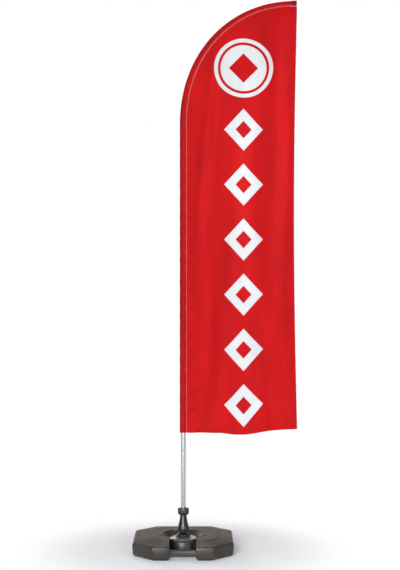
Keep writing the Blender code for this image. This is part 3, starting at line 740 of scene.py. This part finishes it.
def buildPlate():
    radius, top, thick, rim = sizes(plateLook, "radius top thickness rim")
    seat, hole, bottom = sizes(plateLook, "seat hole bottom")
    slope, dip = (top - rim) / (radius - 0.003 - seat), 0.0008
    plate = turnedPiece("clampPlate", [
        (hole, top - thick), (seat, top - thick), (radius - thick, rim - thick), (radius - thick, bottom),
        (radius, bottom), (radius, rim - 0.0018), (radius - 0.0010, rim - 0.0005), (radius - 0.0030, rim),
        (radius - 0.0110, rim + 0.008 * slope), (radius - 0.0122, rim + 0.0092 * slope - dip),
        (radius - 0.0140, rim + 0.011 * slope - dip), (radius - 0.0152, rim + 0.0122 * slope),
        (seat + 0.002, top - 0.0004), (seat - 0.001, top), (hole, top),
    ], 96, joined=True)
    soften(plate, 0.0005, 3, 20.0, 35.0)
    place(plate, "base", zincFinish, ["clamp_plate"])


hubLook = {"radius": 0.033, "bottom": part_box("spindle_hub")[0].z, "top": 0.0826, "neckRadius": 0.017,
           "neckTop": 0.0966, "bore": 0.0113, "lugs": 6, "lugRadius": 0.006, "lugDrop": 0.006}


def buildHub():
    look = hubLook
    radius, bottom, top, neck, neckTop, bore = sizes(look, "radius bottom top neckRadius neckTop bore")
    hub = turnedPiece("spindleHub", [
        (bore, bottom), (radius, bottom), (radius, top - 0.004), (radius - 0.004, top), (neck + 0.003, top),
        (neck, top + 0.003), (neck, neckTop), (bore, neckTop),
    ], 72, joined=True)
    lug, lugTop = look["lugRadius"], top - look["lugDrop"]
    for spot in ringSpots(look["lugs"], radius):
        shape = [(lug, bottom), (lug, lugTop - 0.0015), (lug - 0.0015, lugTop)]
        combine(hub, "UNION", turnedPiece("hubLug", shape, 28, spot))
    soften(hub, 0.0006, 3, 28.0)
    turnOut(hub)
    place(hub, "base", hubFinish, ["spindle_hub"])


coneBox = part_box("cone_socket")
coneLook = {"foot": coneBox[0].z, "footTop": coneBox[0].z + 0.005, "footRadius": coneBox[1].x,
            "baseRadius": 0.028, "topRadius": 0.016, "top": 0.178, "nozzle": coneBox[1].z,
            "nozzleRadius": 0.0195, "bore": 0.0128, "boreFloor": 0.1488, "seat": 0.0161, "seatFloor": 0.1860,
            "bearingSeat": 0.0163, "bearingTop": 0.1347, "roof": 0.1445}


def buildCone():
    look = coneLook
    foot, footTop, footRadius, base = sizes(look, "foot footTop footRadius baseRadius")
    neck, top, nozzle, nozzleRadius = sizes(look, "topRadius top nozzle nozzleRadius")
    bore, boreFloor, seat, seatFloor = sizes(look, "bore boreFloor seat seatFloor")
    bearing, bearingTop, roof = sizes(look, "bearingSeat bearingTop roof")
    cone = turnedPiece("coneSocket", [
        (0.0105, roof), (0.0105, bearingTop), (bearing, bearingTop), (bearing, foot),
        (footRadius - 0.001, foot), (footRadius, foot + 0.001), (footRadius, footTop - 0.0012),
        (footRadius - 0.0012, footTop), (base + 0.0055, footTop + 0.0002), (base + 0.0022, footTop + 0.0012),
        (base + 0.0004, footTop + 0.0042), (base - 0.0022, footTop + 0.018), (neck + 0.0034, top - 0.028),
        (neck + 0.0008, top - 0.008), (neck, top), (nozzleRadius, top + 0.003), (nozzleRadius, nozzle),
        (seat, nozzle), (seat, seatFloor), (bore, seatFloor), (bore, boreFloor), (0.004, boreFloor),
    ], 96)
    soften(cone, 0.0005, 3, 28.0)
    turnOut(cone)
    place(cone, "rotor", hubFinish, ["cone_socket"])


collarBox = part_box("clamp_collar")
collarLook = {"radius": collarBox[1].x, "bottom": collarBox[0].z, "top": collarBox[1].z, "thread": 0.0198,
              "bore": 0.0128, "seat": 0.0161, "threadTop": 0.1983, "lip": 0.0064, "flutes": 12,
              "fluteRadius": 0.0040, "fluteDepth": 0.0019}


def buildCollar():
    look = collarLook
    radius, bottom, top, thread, bore = sizes(look, "radius bottom top thread bore")
    seat, threadTop, flute, under = look["seat"], look["threadTop"], look["fluteRadius"], top - look["lip"]
    collar = turnedPiece("clampCollar", [
        (thread, bottom), (radius - 0.0045, bottom), (radius - 0.0008, bottom + 0.0058),
        (radius, bottom + 0.0078), (radius, top - 0.0032), (radius - 0.0010, top - 0.0010),
        (radius - 0.0034, top), (bore, top), (bore, under), (seat, under), (seat, threadTop),
        (thread, threadTop),
    ], 96, joined=True)
    for spot in ringSpots(look["flutes"], radius + flute - look["fluteDepth"]):
        shape = [(flute * 0.3, bottom + 0.0082), (flute, bottom + 0.0125), (flute, top + 0.01)]
        combine(collar, "DIFFERENCE", turnedPiece("fluteTool", shape, 24, spot))
    soften(collar, 0.0005, 2, 30.0)
    turnOut(collar)
    place(collar, "clamp_collar", hubFinish, ["clamp_collar"])


buildPlate()
buildHub()
buildCone()
buildCollar()
print("spindle, cone and collar made")


# Pole

poleLook = {"radius": 0.0125, "bore": 0.01125, "lowerBottom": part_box("pole_lower")[0].z,
            "joint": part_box("pole_lower")[1].z, "middleBottom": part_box("pole_middle")[0].z,
            "middleTop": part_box("pole_middle")[1].z, "spigot": 0.01095, "spigotBore": 0.0097}


def buildPole():
    radius, bore, low, joint, foot, top, spigot, spigotBore = sizes(
        poleLook, "radius bore lowerBottom joint middleBottom middleTop spigot spigotBore")
    ease, step = 0.0004, joint + 0.0003
    lower = [(bore, low), (radius - ease, low), (radius, low + ease), (radius, joint - ease),
             (radius - ease, joint), (bore, joint)]
    middle = [(spigotBore, foot), (spigot - ease, foot), (spigot, foot + ease), (spigot, step),
              (radius, step), (radius, top), (bore, top), (bore, joint + 0.004), (spigotBore, joint + 0.0027)]
    for name, profile, node in (("lowerTube", lower, "pole_lower"), ("middleTube", middle, "pole_middle")):
        tube = turnedPiece(name, profile, 64, joined=True)
        soften(tube, 0.0001, 2, 30.0)
        place(tube, "pole", tubeFinish, [node])


buildPole()
print("pole made")


# Flag. Its outer edge runs up beside the pole and then bends over to the tip

flagLook = {
    "bottom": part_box("pole_sleeve")[0].z,
    "edge": -0.018,
    "bendHeight": 2.141,
    "bendWidth": 0.588,
    "bendRise": 0.629,
    "fullness": 0.95,
    "sleeveWidth": 0.032,
    "sleeveTipWidth": 0.023,
    "sleeveDepth": 0.0151,
    "sleeveTipDepth": 0.0083,
    "narrowStart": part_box("rod_ferrule")[1].z + 0.012 - 0.591,
    "thinOver": 0.35,
    "cloth": 0.0008,
    "pocket": 0.025,
    "hollow": 0.016,
    "freeReach": 0.003,
    "rise": 0.018,
    "sag": 0.009,
    "freeFrom": 0.10,
    "rows": 400,
    "columns": 88,
    "hemWidth": 0.011,
}


def smoothStep(value, low, high):
    share = np.clip((value - low) / (high - low), 0.0, 1.0)
    return share * share * (3 - 2 * share)


def edgeLine(count=4000):
    look = flagLook
    turn = np.linspace(0.0, math.pi / 2, 2 * count)
    x = look["edge"] + look["bendWidth"] * (1 - np.cos(turn) ** look["fullness"])
    z = look["bendHeight"] + look["bendRise"] * np.sin(turn) ** look["fullness"]
    line = np.stack([np.append(look["edge"], x), np.append(look["bottom"], z)], axis=1)
    along = np.append(0.0, np.cumsum(np.linalg.norm(np.diff(line, axis=0), axis=1)))
    even = np.linspace(0.0, along[-1], count)
    return np.stack([np.interp(even, along, line[:, 0]), np.interp(even, along, line[:, 1])], axis=1), even


edgePoints, edgeAlong = edgeLine()
edgeLength = edgeAlong[-1]


def onEdge(along):
    # the outer edge's points, with the directions inwards and along, for an array of lengths
    def point(at):
        return np.stack([np.interp(at, edgeAlong, edgePoints[:, axis]) for axis in (0, 1)], axis=-1)

    way = unit(point(np.minimum(along + 0.01, edgeLength)) - point(np.maximum(along - 0.01, 0.0)))
    return point(along), np.stack([way[..., 1], -way[..., 0]], axis=-1), way


def sleeveSize(along):
    look = flagLook
    width = look["sleeveWidth"] + (look["sleeveTipWidth"] - look["sleeveWidth"]) * smoothStep(
        along, look["narrowStart"], edgeLength)
    thinned = smoothStep(along, look["narrowStart"], look["narrowStart"] + look["thinOver"])
    depth = look["sleeveDepth"] + (look["sleeveTipDepth"] - look["sleeveDepth"]) * thinned
    return width / 2, depth


def gridPiece(name, grid, across, up, wrap=False):
    # a grid of points made cloth, with its own flat place, in metres, as its UV map
    piece = meshPiece(name, grid.reshape(-1, 3), gridFaces(*grid.shape[:2], wrap))
    layer = piece.data.uv_layers.new(name="clothMap")
    corners = np.empty(len(piece.data.loops), int)
    piece.data.loops.foreach_get("vertex_index", corners)
    flat = np.stack([np.ravel(across + 0 * up)[corners], np.ravel(up + 0 * across)[corners]], axis=1)
    layer.data.foreach_set("uv", flat.astype(np.float32).ravel())
    return piece


def thicken(piece, thickness, offset=0.0, angle=50, turned=True):
    applyModifier(piece, "SOLIDIFY", thickness=thickness, offset=offset, use_even_offset=False)
    if turned:
        turnOut(piece)
    smooth(piece, angle)


def unit(ways):
    return ways / np.maximum(np.linalg.norm(ways, axis=-1, keepdims=True), 1e-9)


def uprightLine(flat, depth):
    # points on the flag's plane, given as (x, z), moved back by depth
    return np.stack([flat[:, 0], depth, flat[:, 1]], axis=1)


def gridFaces(rows, columns, wrap=False):
    faces = []
    for row in range(rows - 1):
        for column in range(columns if wrap else columns - 1):
            a, b = row * columns + column, row * columns + (column + 1) % columns
            faces.append((a, b, b + columns, a + columns))
    return faces


# Long soft folds: where each crosses the top and foot of its run, how wide and how deep
folds = [
    {"top": (0.135, 2.42), "foot": (0.055, 1.30), "width": 0.030, "depth": -0.0125},
    {"top": (0.185, 2.50), "foot": (0.125, 1.55), "width": 0.034, "depth": 0.0100},
    {"top": (0.285, 2.30), "foot": (0.215, 0.75), "width": 0.042, "depth": -0.0068},
    {"top": (0.395, 2.62), "foot": (0.330, 0.95), "width": 0.046, "depth": 0.0078},
    {"top": (0.470, 2.66), "foot": (0.455, 1.10), "width": 0.032, "depth": -0.0095},
    {"top": (0.525, 2.55), "foot": (0.505, 0.70), "width": 0.028, "depth": 0.0085},
    {"top": (0.150, 1.40), "foot": (0.090, 0.62), "width": 0.026, "depth": 0.0068},
    {"top": (0.200, 1.20), "foot": (0.160, 0.60), "width": 0.028, "depth": -0.0065},
    {"top": (0.420, 1.30), "foot": (0.395, 0.60), "width": 0.040, "depth": -0.0068},
    {"top": (0.340, 1.75), "foot": (0.420, 1.15), "width": 0.045, "depth": 0.0051},
]


def foldDepth(x, z):
    total = 0.0 * x
    for fold in folds:
        (topX, topZ), (footX, footZ) = fold["top"], fold["foot"]
        down = (topZ - z) / (topZ - footZ)
        line = topX + (footX - topX) * down + 0.010 * np.sin(5.0 * z + 20 * topX)
        run = smoothStep(down, -0.18, 0.22) * (1 - smoothStep(down, 0.78, 1.22))
        wide = fold["width"] * (0.85 + 0.3 * down)
        total = total + fold["depth"] * run * np.exp(-((x - line) / wide) ** 2)
    return total


def puckerDepth(gap, along):
    # short creases that leave the seam and fade into the cloth
    fade = np.exp(-gap / 0.055) * smoothStep(gap, 0.0, 0.010)
    lower = 0.35 + 0.65 * (1 - smoothStep(along, 0.9, 1.5))
    slant = along - 0.65 * gap
    crease = np.sin(tau * slant / 0.074 + 1.1 * np.sin(tau * slant / 0.43))
    fine = 0.45 * np.sin(tau * slant / 0.041 + 2.1 * np.sin(tau * slant / 0.57 + 1.0))
    return 0.0034 * fade * lower * (crease + fine)


def waveDepth(x, z, freedom):
    long = np.sin(tau * x / 0.41 + 1.3 * z)
    short = 0.45 * np.sin(tau * x / 0.19 - 1.9 * z + 0.6)
    return 0.0055 * freedom * (long + short)


def panelGrid(rows, columns):
    look = flagLook
    along = np.linspace(0.0, edgeLength, rows)
    point, inward, _ = onEdge(along)
    half, _ = sleeveSize(along)
    beside = smoothStep(along, edgeLength - 2.5 * look["pocket"], edgeLength - 1.4 * look["pocket"])
    left = point + inward * (2 * half + 0.0003 + 0.0028 * beside)[:, None]
    top = point[-1] + inward[-1] * (2 * half[-1] + 0.0031)
    share = along / edgeLength
    rightX = top[0] + look["freeReach"] - look["hollow"] * np.sin(math.pi * share)
    right = np.stack([rightX, look["bottom"] + (top[1] - look["bottom"]) * share], axis=1)
    across = np.linspace(0.0, 1.0, columns)
    flat = left[:, None, :] + (right - left)[:, None, :] * across[None, :, None]
    gap = across[None, :] * np.linalg.norm(right - left, axis=1)[:, None]
    freedom = smoothStep(gap, 0.0, look["freeFrom"])
    x, z = flat[..., 0], flat[..., 1]
    ending = 1 - smoothStep(along, edgeLength - 0.10, edgeLength)[:, None]
    y = waveDepth(x, z, freedom) + (foldDepth(x, z) * freedom + puckerDepth(gap, along[:, None])) * ending
    hang = ((1 - share) ** 6)[:, None]
    dip = smoothStep(across, 0.3, 0.45) * (1 - smoothStep(across, 0.5, 0.75))
    lift = look["rise"] * smoothStep(across, 0.5, 1.0) - look["sag"] * dip
    return np.stack([x, y, z + hang * lift[None, :]], axis=-1), x, z


def buildPanel():
    points, across, up = panelGrid(flagLook["rows"], flagLook["columns"])
    panel = gridPiece("flagPanel", points, across, up)
    thicken(panel, flagLook["cloth"], 0.0, 60, turned=False)
    place(panel, "pole", panelFinish, ["flag_panel"])
    return panel, points


panelPiece, panelPoints = buildPanel()
print("flag panel made")


def clothNormals(points):
    # unit normals of a grid of points, facing the front
    normal = unit(np.cross(np.gradient(points, axis=1), np.gradient(points, axis=0)))
    return normal * np.where(normal[..., 1:2] > 0, -1.0, 1.0)


def wrapStrip(name, rim, inner, normals, gap, flatAcross, flatUp):
    # a folded strip of cloth round the panel's edge: up one face, round the rim and down the other
    length = np.linalg.norm(rim - inner, axis=1, keepdims=True)
    beyond = rim + (rim - inner) / length * gap * 0.9
    front = [inner + (rim - inner) * share + gap * normals for share in (0.0, 0.5, 0.93)]
    back = [inner + (rim - inner) * share - gap * normals for share in (0.93, 0.5, 0.0)]
    loops = [*front, beyond + 0.5 * gap * normals, beyond - 0.5 * gap * normals, *back]
    around = np.linspace(0.0, 2.0, len(loops))[None, :] * length
    strip = gridPiece(name, np.stack(loops, axis=1), flatAcross[:, None] + around, flatUp[:, None])
    thicken(strip, 0.0006, 1.0)
    place(strip, "pole", hemFinish)
    return strip


def stitchRow(name, points, normals, finish, pitch=0.0036, stitch=(0.0024, 0.0008, 0.0005)):
    # one stitch is modelled, then copied along the line of points, all in one mesh
    seed = added("stitchSeed", bpy.ops.mesh.primitive_uv_sphere_add, segments=6, ring_count=4, radius=0.5,
                 rotation=(0, math.pi / 2, 0))
    base = np.array([vertex.co for vertex in seed.data.vertices])
    faces = [tuple(face.vertices) for face in seed.data.polygons]
    bpy.data.objects.remove(seed)
    along = np.append(0.0, np.cumsum(np.linalg.norm(np.diff(points, axis=0), axis=1)))
    spots = np.arange(pitch, along[-1] - pitch / 2, pitch)

    def at(values, where):
        return np.stack([np.interp(where, along, values[:, axis]) for axis in range(3)], axis=1)

    way = unit(at(points, spots + 0.0008) - at(points, spots - 0.0008))
    out = at(normals, spots)
    out = unit(out - way * (out * way).sum(1, keepdims=True))
    corners = at(points, spots)[:, None, :]
    for axis, size, direction in zip(range(3), stitch, (way, np.cross(out, way), out)):
        corners = corners + base[None, :, axis:axis + 1] * size * direction[:, None, :]
    allFaces = [tuple(v + i * len(base) for v in face) for i in range(len(spots)) for face in faces]
    row = meshPiece(name, corners.reshape(-1, 3), allFaces)
    turnOut(row)
    makeActive(row)
    bpy.ops.object.shade_smooth()
    return place(row, "pole", finish)


def buildHems():
    look = flagLook
    normals, gap = clothNormals(panelPoints), look["cloth"] / 2 + 0.0003

    def insideOf(rim, behind, reach):
        share = (look["hemWidth"] / reach)[:, None].clip(0, 1)
        return rim + (behind - rim) * share

    sideRim = panelPoints[:, -1]
    step = np.linalg.norm(sideRim - panelPoints[:, -2], axis=1)
    sideInner = insideOf(sideRim, panelPoints[:, -3], np.maximum(2 * step, 0.004))
    keep = slice(0, look["rows"] - 2)
    free = wrapStrip("freeEdgeHem", sideRim[keep], sideInner[keep], normals[keep, -2], gap, sideRim[keep, 0],
                     sideRim[keep, 2])
    footRim = panelPoints[0]
    footInner = insideOf(footRim, panelPoints[3], np.linalg.norm(panelPoints[3] - footRim, axis=1))
    keep = slice(1, -2)
    foot = wrapStrip("footHem", footRim[keep], footInner[keep], normals[1, keep], gap + 0.0002,
                     footRim[keep, 2], footRim[keep, 0])
    runs = [("foot", footRim, footInner, normals[1], slice(2, -3)),
            ("free", sideRim, sideInner, normals[:, -2], slice(2, -12))]
    rows = []
    for side, word in ((1, "Front"), (-1, "Back")):
        for name, rim, inner, out, keep in runs:
            line = inner + (rim - inner) * 0.18 + (gap + 0.0007) * side * out
            rows.append(stitchRow(name + "HemStitch" + word, line[keep], side * out[keep], redThread))
    return [free, foot, *rows]


hemPieces = buildHems()
print("hems made")


def buildSleeve():
    rows, sides = 520, 40
    along = np.linspace(0.0, edgeLength, rows)
    point, inward, _ = onEdge(along)
    half, depth = sleeveSize(along)
    centre = point + inward * half[:, None]
    turn = np.arange(sides) * tau / sides
    cos, sin = np.cos(turn), np.sin(turn)
    # creases lean round the sleeve, and are strongest beside the tube's slack side
    lean = along[:, None] + 0.018 * sin[None, :]
    ripple = np.sin(tau * lean / 0.083 + 1.3 * np.sin(tau * lean / 0.51)) + 0.6 * np.sin(
        tau * lean / 0.047 + 1.9 * np.sin(tau * lean / 0.37 + 2.0) + 2.0 * turn[None, :])
    slack = 0.5 + 0.5 * smoothStep(cos, -0.2, 0.9)[None, :]
    calm = (1 - 0.7 * smoothStep(along, 1.35, 1.8))[:, None]
    ends = smoothStep(along, 0.0, 0.02) * (1 - smoothStep(along, edgeLength - 0.06, edgeLength - 0.03))
    swell = 0.00062 * ripple * slack * calm * ends[:, None]
    pinch = 1 - 0.16 * smoothStep(cos, 0.55, 1.0)[None, :]
    radiusX = (half[:, None] + swell) * cos[None, :]
    y = (depth[:, None] + 1.4 * swell) * sin[None, :] * pinch
    x, z = (centre[:, axis:axis + 1] + inward[:, axis:axis + 1] * radiusX for axis in (0, 1))
    around = turn[None, :] * 0.0155
    sleeve = gridPiece("poleSleeve", np.stack([x, y, z], axis=-1), around, along[:, None], True)
    turnOut(sleeve)
    thicken(sleeve, flagLook["cloth"], -1.0, 60, turned=False)
    return place(sleeve, "pole", shadedSleeveFinish, ["pole_sleeve"])


sleevePiece = buildSleeve()
print("sleeve made")


def buildSeam():
    # the flat tape that joins sleeve and panel, with a row of stitches on each face
    along = np.linspace(0.004, edgeLength - 0.030, 520)
    point, inward, _ = onEdge(along)
    half, _ = sleeveSize(along)
    seam = point + inward * (2 * half)[:, None]
    wobble = 0.0004 * np.sin(tau * along / 0.062 + 1.5 * np.sin(tau * along / 0.29))
    section = [(-0.0042, 0.0052), (-0.0030, 0.0058), (-0.0002, 0.0026), (0.0030, 0.0017), (0.0040, 0.0009)]
    around = np.array([reach for reach, _ in section])[None, :]
    pieces = []
    for side, word in ((-1, "Front"), (1, "Back")):
        loops = [uprightLine(seam + inward * reach, side * (lift + wobble)) for reach, lift in section]
        tape = gridPiece("seamTape" + word, np.stack(loops, axis=1), around, along[:, None])
        thicken(tape, 0.0006)
        place(tape, "pole", tapeFinish)
        line = uprightLine(seam + inward * 0.0014, side * (0.0028 + wobble))
        facing = np.zeros_like(line) + (0, side, 0)
        pieces += [tape, stitchRow("seamStitch" + word, line, facing, paleThread, 0.0030,
                                   (0.0026, 0.0013, 0.0008))]
    return pieces


seamPieces = buildSeam()
print("seam made")


def buildTipPocket():
    sides, grow = 40, 0.0017
    along = np.linspace(edgeLength - flagLook["pocket"], edgeLength, 26)
    point, inward, way = onEdge(along)
    half, depth = sleeveSize(along)
    turn = np.arange(sides) * tau / sides
    cos, sin = np.cos(turn), np.sin(turn)

    def ring(index, extra, beyond=0.0, squeeze=1.0):
        centre = point[index] + inward[index] * half[index] + way[index] * beyond
        across = (half[index] + extra) * cos * squeeze
        return uprightLine(centre + inward[index] * across[:, None], (depth[index] + extra) * sin * squeeze)

    rings = [ring(index, grow + 0.0003 * math.sin(index * 1.3)) for index in range(len(along))]
    rings += [ring(-1, grow, 0.0016), ring(-1, grow - 0.0009, 0.0020), ring(-1, grow, 0.0021, 0.45)]
    faces = gridFaces(len(rings), sides, True)
    faces.append(tuple((len(rings) - 1) * sides + i for i in range(sides)))
    pocket = meshPiece("tipPocket", np.concatenate(rings), faces)
    turnOut(pocket)
    thicken(pocket, 0.0012, -1.0, turned=False)
    place(pocket, "pole", pocketFinish, ["tip_pocket"])
    rows = []
    for index, word in ((2, "Low"), (6, "High")):
        loop = ring(index, grow + 0.0002)
        loop = np.concatenate([loop, loop[:1]])
        out = unit(loop - loop[:-1].mean(axis=0))
        rows.append(stitchRow("pocketStitch" + word, loop, out, redThread, 0.0030, (0.0022, 0.0009, 0.0007)))
    return pocket, rows


pocketPiece, pocketRows = buildTipPocket()
print("tip pocket made")


# Inner pieces keep their shape and get their finish

bearingParts = [level + part for level in ("lower_", "upper_")
                for part in ("inner_race", "outer_race", "ball_cage")]
innerFinishes = [
    (waterFinish, ["water_fill"]),
    (rubberFinish, ["filler_gasket", "tip_cap"]),
    (brassFinish, ["threaded_insert"]),
    (zincFinish, ["spindle", "spindle_top_nut", "inner_spacer", "outer_spacer"]),
    (bearingFinish, [*bearingParts, "rotor_snap_ring"]),
    (nylonFinish, ["collet"]),
    (hubFinish, ["foot_plug", "rod_ferrule"]),
    (rodFinish, ["tip_rod"]),
]
for finish, nodes in innerFinishes:
    for node in nodes:
        mesh = cadNodes[node].data
        if not mesh.materials:
            mesh.materials.append(finish)
        for index in range(len(mesh.materials)):
            mesh.materials[index] = finish
print("inner pieces finished")


# Stage, light and camera

# floor and floorPale are a grey paper tone, painted soft shadow round the base; clear and faded are the radii
# where it starts to fade and where glowing white takes over
stageLook = {"size": 14.0, "floor": (0.80, 0.83, 0.87), "floorPale": (0.83, 0.855, 0.89), "clear": 0.34,
             "faded": 0.86, "room": (0.84, 0.86, 0.88, 1), "roomStrength": 0.24}


def mixInto(tree, share, first, second, output):
    # first where share is 0, second where it is 1
    mix = tree.nodes.new("ShaderNodeMixShader")
    for socket, source in zip(mix.inputs, (share, first, second)):
        tree.links.new(source, socket)
    tree.links.new(mix.outputs[0], tree.nodes[output].inputs["Surface"])


def buildFloor():
    look = stageLook
    floor = added("studioFloor", bpy.ops.mesh.primitive_grid_add, x_subdivisions=24, y_subdivisions=24,
                  size=look["size"])
    made, tree, shader = startFinish("studioPaper", 0.85)
    vector = coordinates(tree)
    tones = [(0.3, look["floor"]), (0.7, look["floorPale"])]
    rampInto(tree, shader, "Base Color", noise(tree, vector, 3.0, 2.0), tones)
    # painted soft shadow: grey paper near the base, fading with distance into glowing white
    far = addNode(tree, "ShaderNodeVectorMath", operation="LENGTH")
    tree.links.new(vector, far.inputs[0])
    share = addNode(tree, "ShaderNodeMapRange", interpolation_type="SMOOTHSTEP")
    share.inputs["From Min"].default_value = look["clear"]
    share.inputs["From Max"].default_value = look["faded"]
    tree.links.new(far.outputs["Value"], share.inputs["Value"])
    glow = addNode(tree, "ShaderNodeEmission", Color=(1, 1, 1, 1), Strength=1.0)
    mixInto(tree, share.outputs["Result"], shader.outputs[0], glow.outputs[0], "Material Output")
    floor.data.materials.append(made)


lights = [
    {"name": "keySoftbox", "place": (-1.5, -4.6, 2.6), "aim": (0.25, 0.0, 1.5), "size": (2.2, 2.6),
     "power": 50.0, "tint": (1.0, 0.99, 0.975), "spread": 110.0},
    {"name": "sideSoftbox", "place": (2.3, -2.5, 2.2), "aim": (0.35, 0.0, 1.8), "size": (0.9, 1.9),
     "power": 13.0, "tint": (1.0, 0.985, 0.97), "spread": 54.0},
    {"name": "topSoftbox", "place": (-0.3, -2.0, 4.7), "aim": (0.0, 0.0, 0.0), "size": (2.4, 2.0),
     "power": 21.0, "tint": (1.0, 0.93, 0.86), "spread": 150.0},
    {"name": "rearSoftbox", "place": (-2.7, 3.4, 2.5), "aim": (0.25, 0.0, 1.8), "size": (1.0, 2.0),
     "power": 12.0, "tint": (1.0, 0.99, 0.97), "spread": 56.0},
    {"name": "backCard", "place": (0.0, 4.3, 1.15), "aim": (0.0, 0.0, 0.4), "size": (5.0, 1.2),
     "power": 5.5, "tint": (1.0, 0.76, 0.60), "spread": 120.0},
    {"name": "crownCard", "place": (0.0, 2.5, 3.6), "aim": (0.0, 0.0, 0.0), "size": (1.8, 0.7),
     "power": 4.0, "tint": (1.0, 0.93, 0.88), "spread": 60.0},
    {"name": "lowSoftbox", "place": (-0.6, -3.3, 0.75), "aim": (-0.03, 0.0, 0.08), "size": (2.2, 1.0),
     "power": 9.0, "tint": (0.97, 0.99, 1.0), "spread": 40.0},
]


def buildLights():
    for look in lights:
        data = bpy.data.lights.new(look["name"], "AREA")
        data.shape = "RECTANGLE"
        data.size, data.size_y = look["size"]
        data.energy = look["power"]
        data.spread = math.radians(look["spread"])
        data.color = look["tint"]
        lamp = bpy.data.objects.new(look["name"], data)
        bpy.context.scene.collection.objects.link(lamp)
        lamp.location = look["place"]
        way = Vector(look["aim"]) - Vector(look["place"])
        lamp.rotation_euler = way.to_track_quat("-Z", "Y").to_euler()
    world = bpy.data.worlds.new("studioRoom")
    bpy.context.scene.world = world
    world.use_nodes = True
    tree = world.node_tree
    room = tree.nodes["Background"]
    room.inputs["Color"].default_value = stageLook["room"]
    room.inputs["Strength"].default_value = stageLook["roomStrength"]
    seen = addNode(tree, "ShaderNodeBackground", Color=(1, 1, 1, 1), Strength=1.0)
    path = tree.nodes.new("ShaderNodeLightPath")
    mixInto(tree, path.outputs["Is Camera Ray"], room.outputs[0], seen.outputs[0], "World Output")
    bpy.context.scene.view_settings.view_transform = "Standard"


cameraLook = {"place": (0.084, -5.9, 1.336), "lens": 73.8, "sensor": 36.0, "farthest": 60.0}


def buildCamera():
    data = bpy.data.cameras.new("frontCamera")
    data.lens = cameraLook["lens"]
    data.sensor_width = cameraLook["sensor"]
    data.clip_end = cameraLook["farthest"]
    camera = bpy.data.objects.new("frontCamera", data)
    bpy.context.scene.collection.objects.link(camera)
    camera.location = cameraLook["place"]
    camera.rotation_euler = (math.pi / 2, 0, 0)
    bpy.context.scene.camera = camera


buildFloor()
buildLights()
buildCamera()
print("stage made")
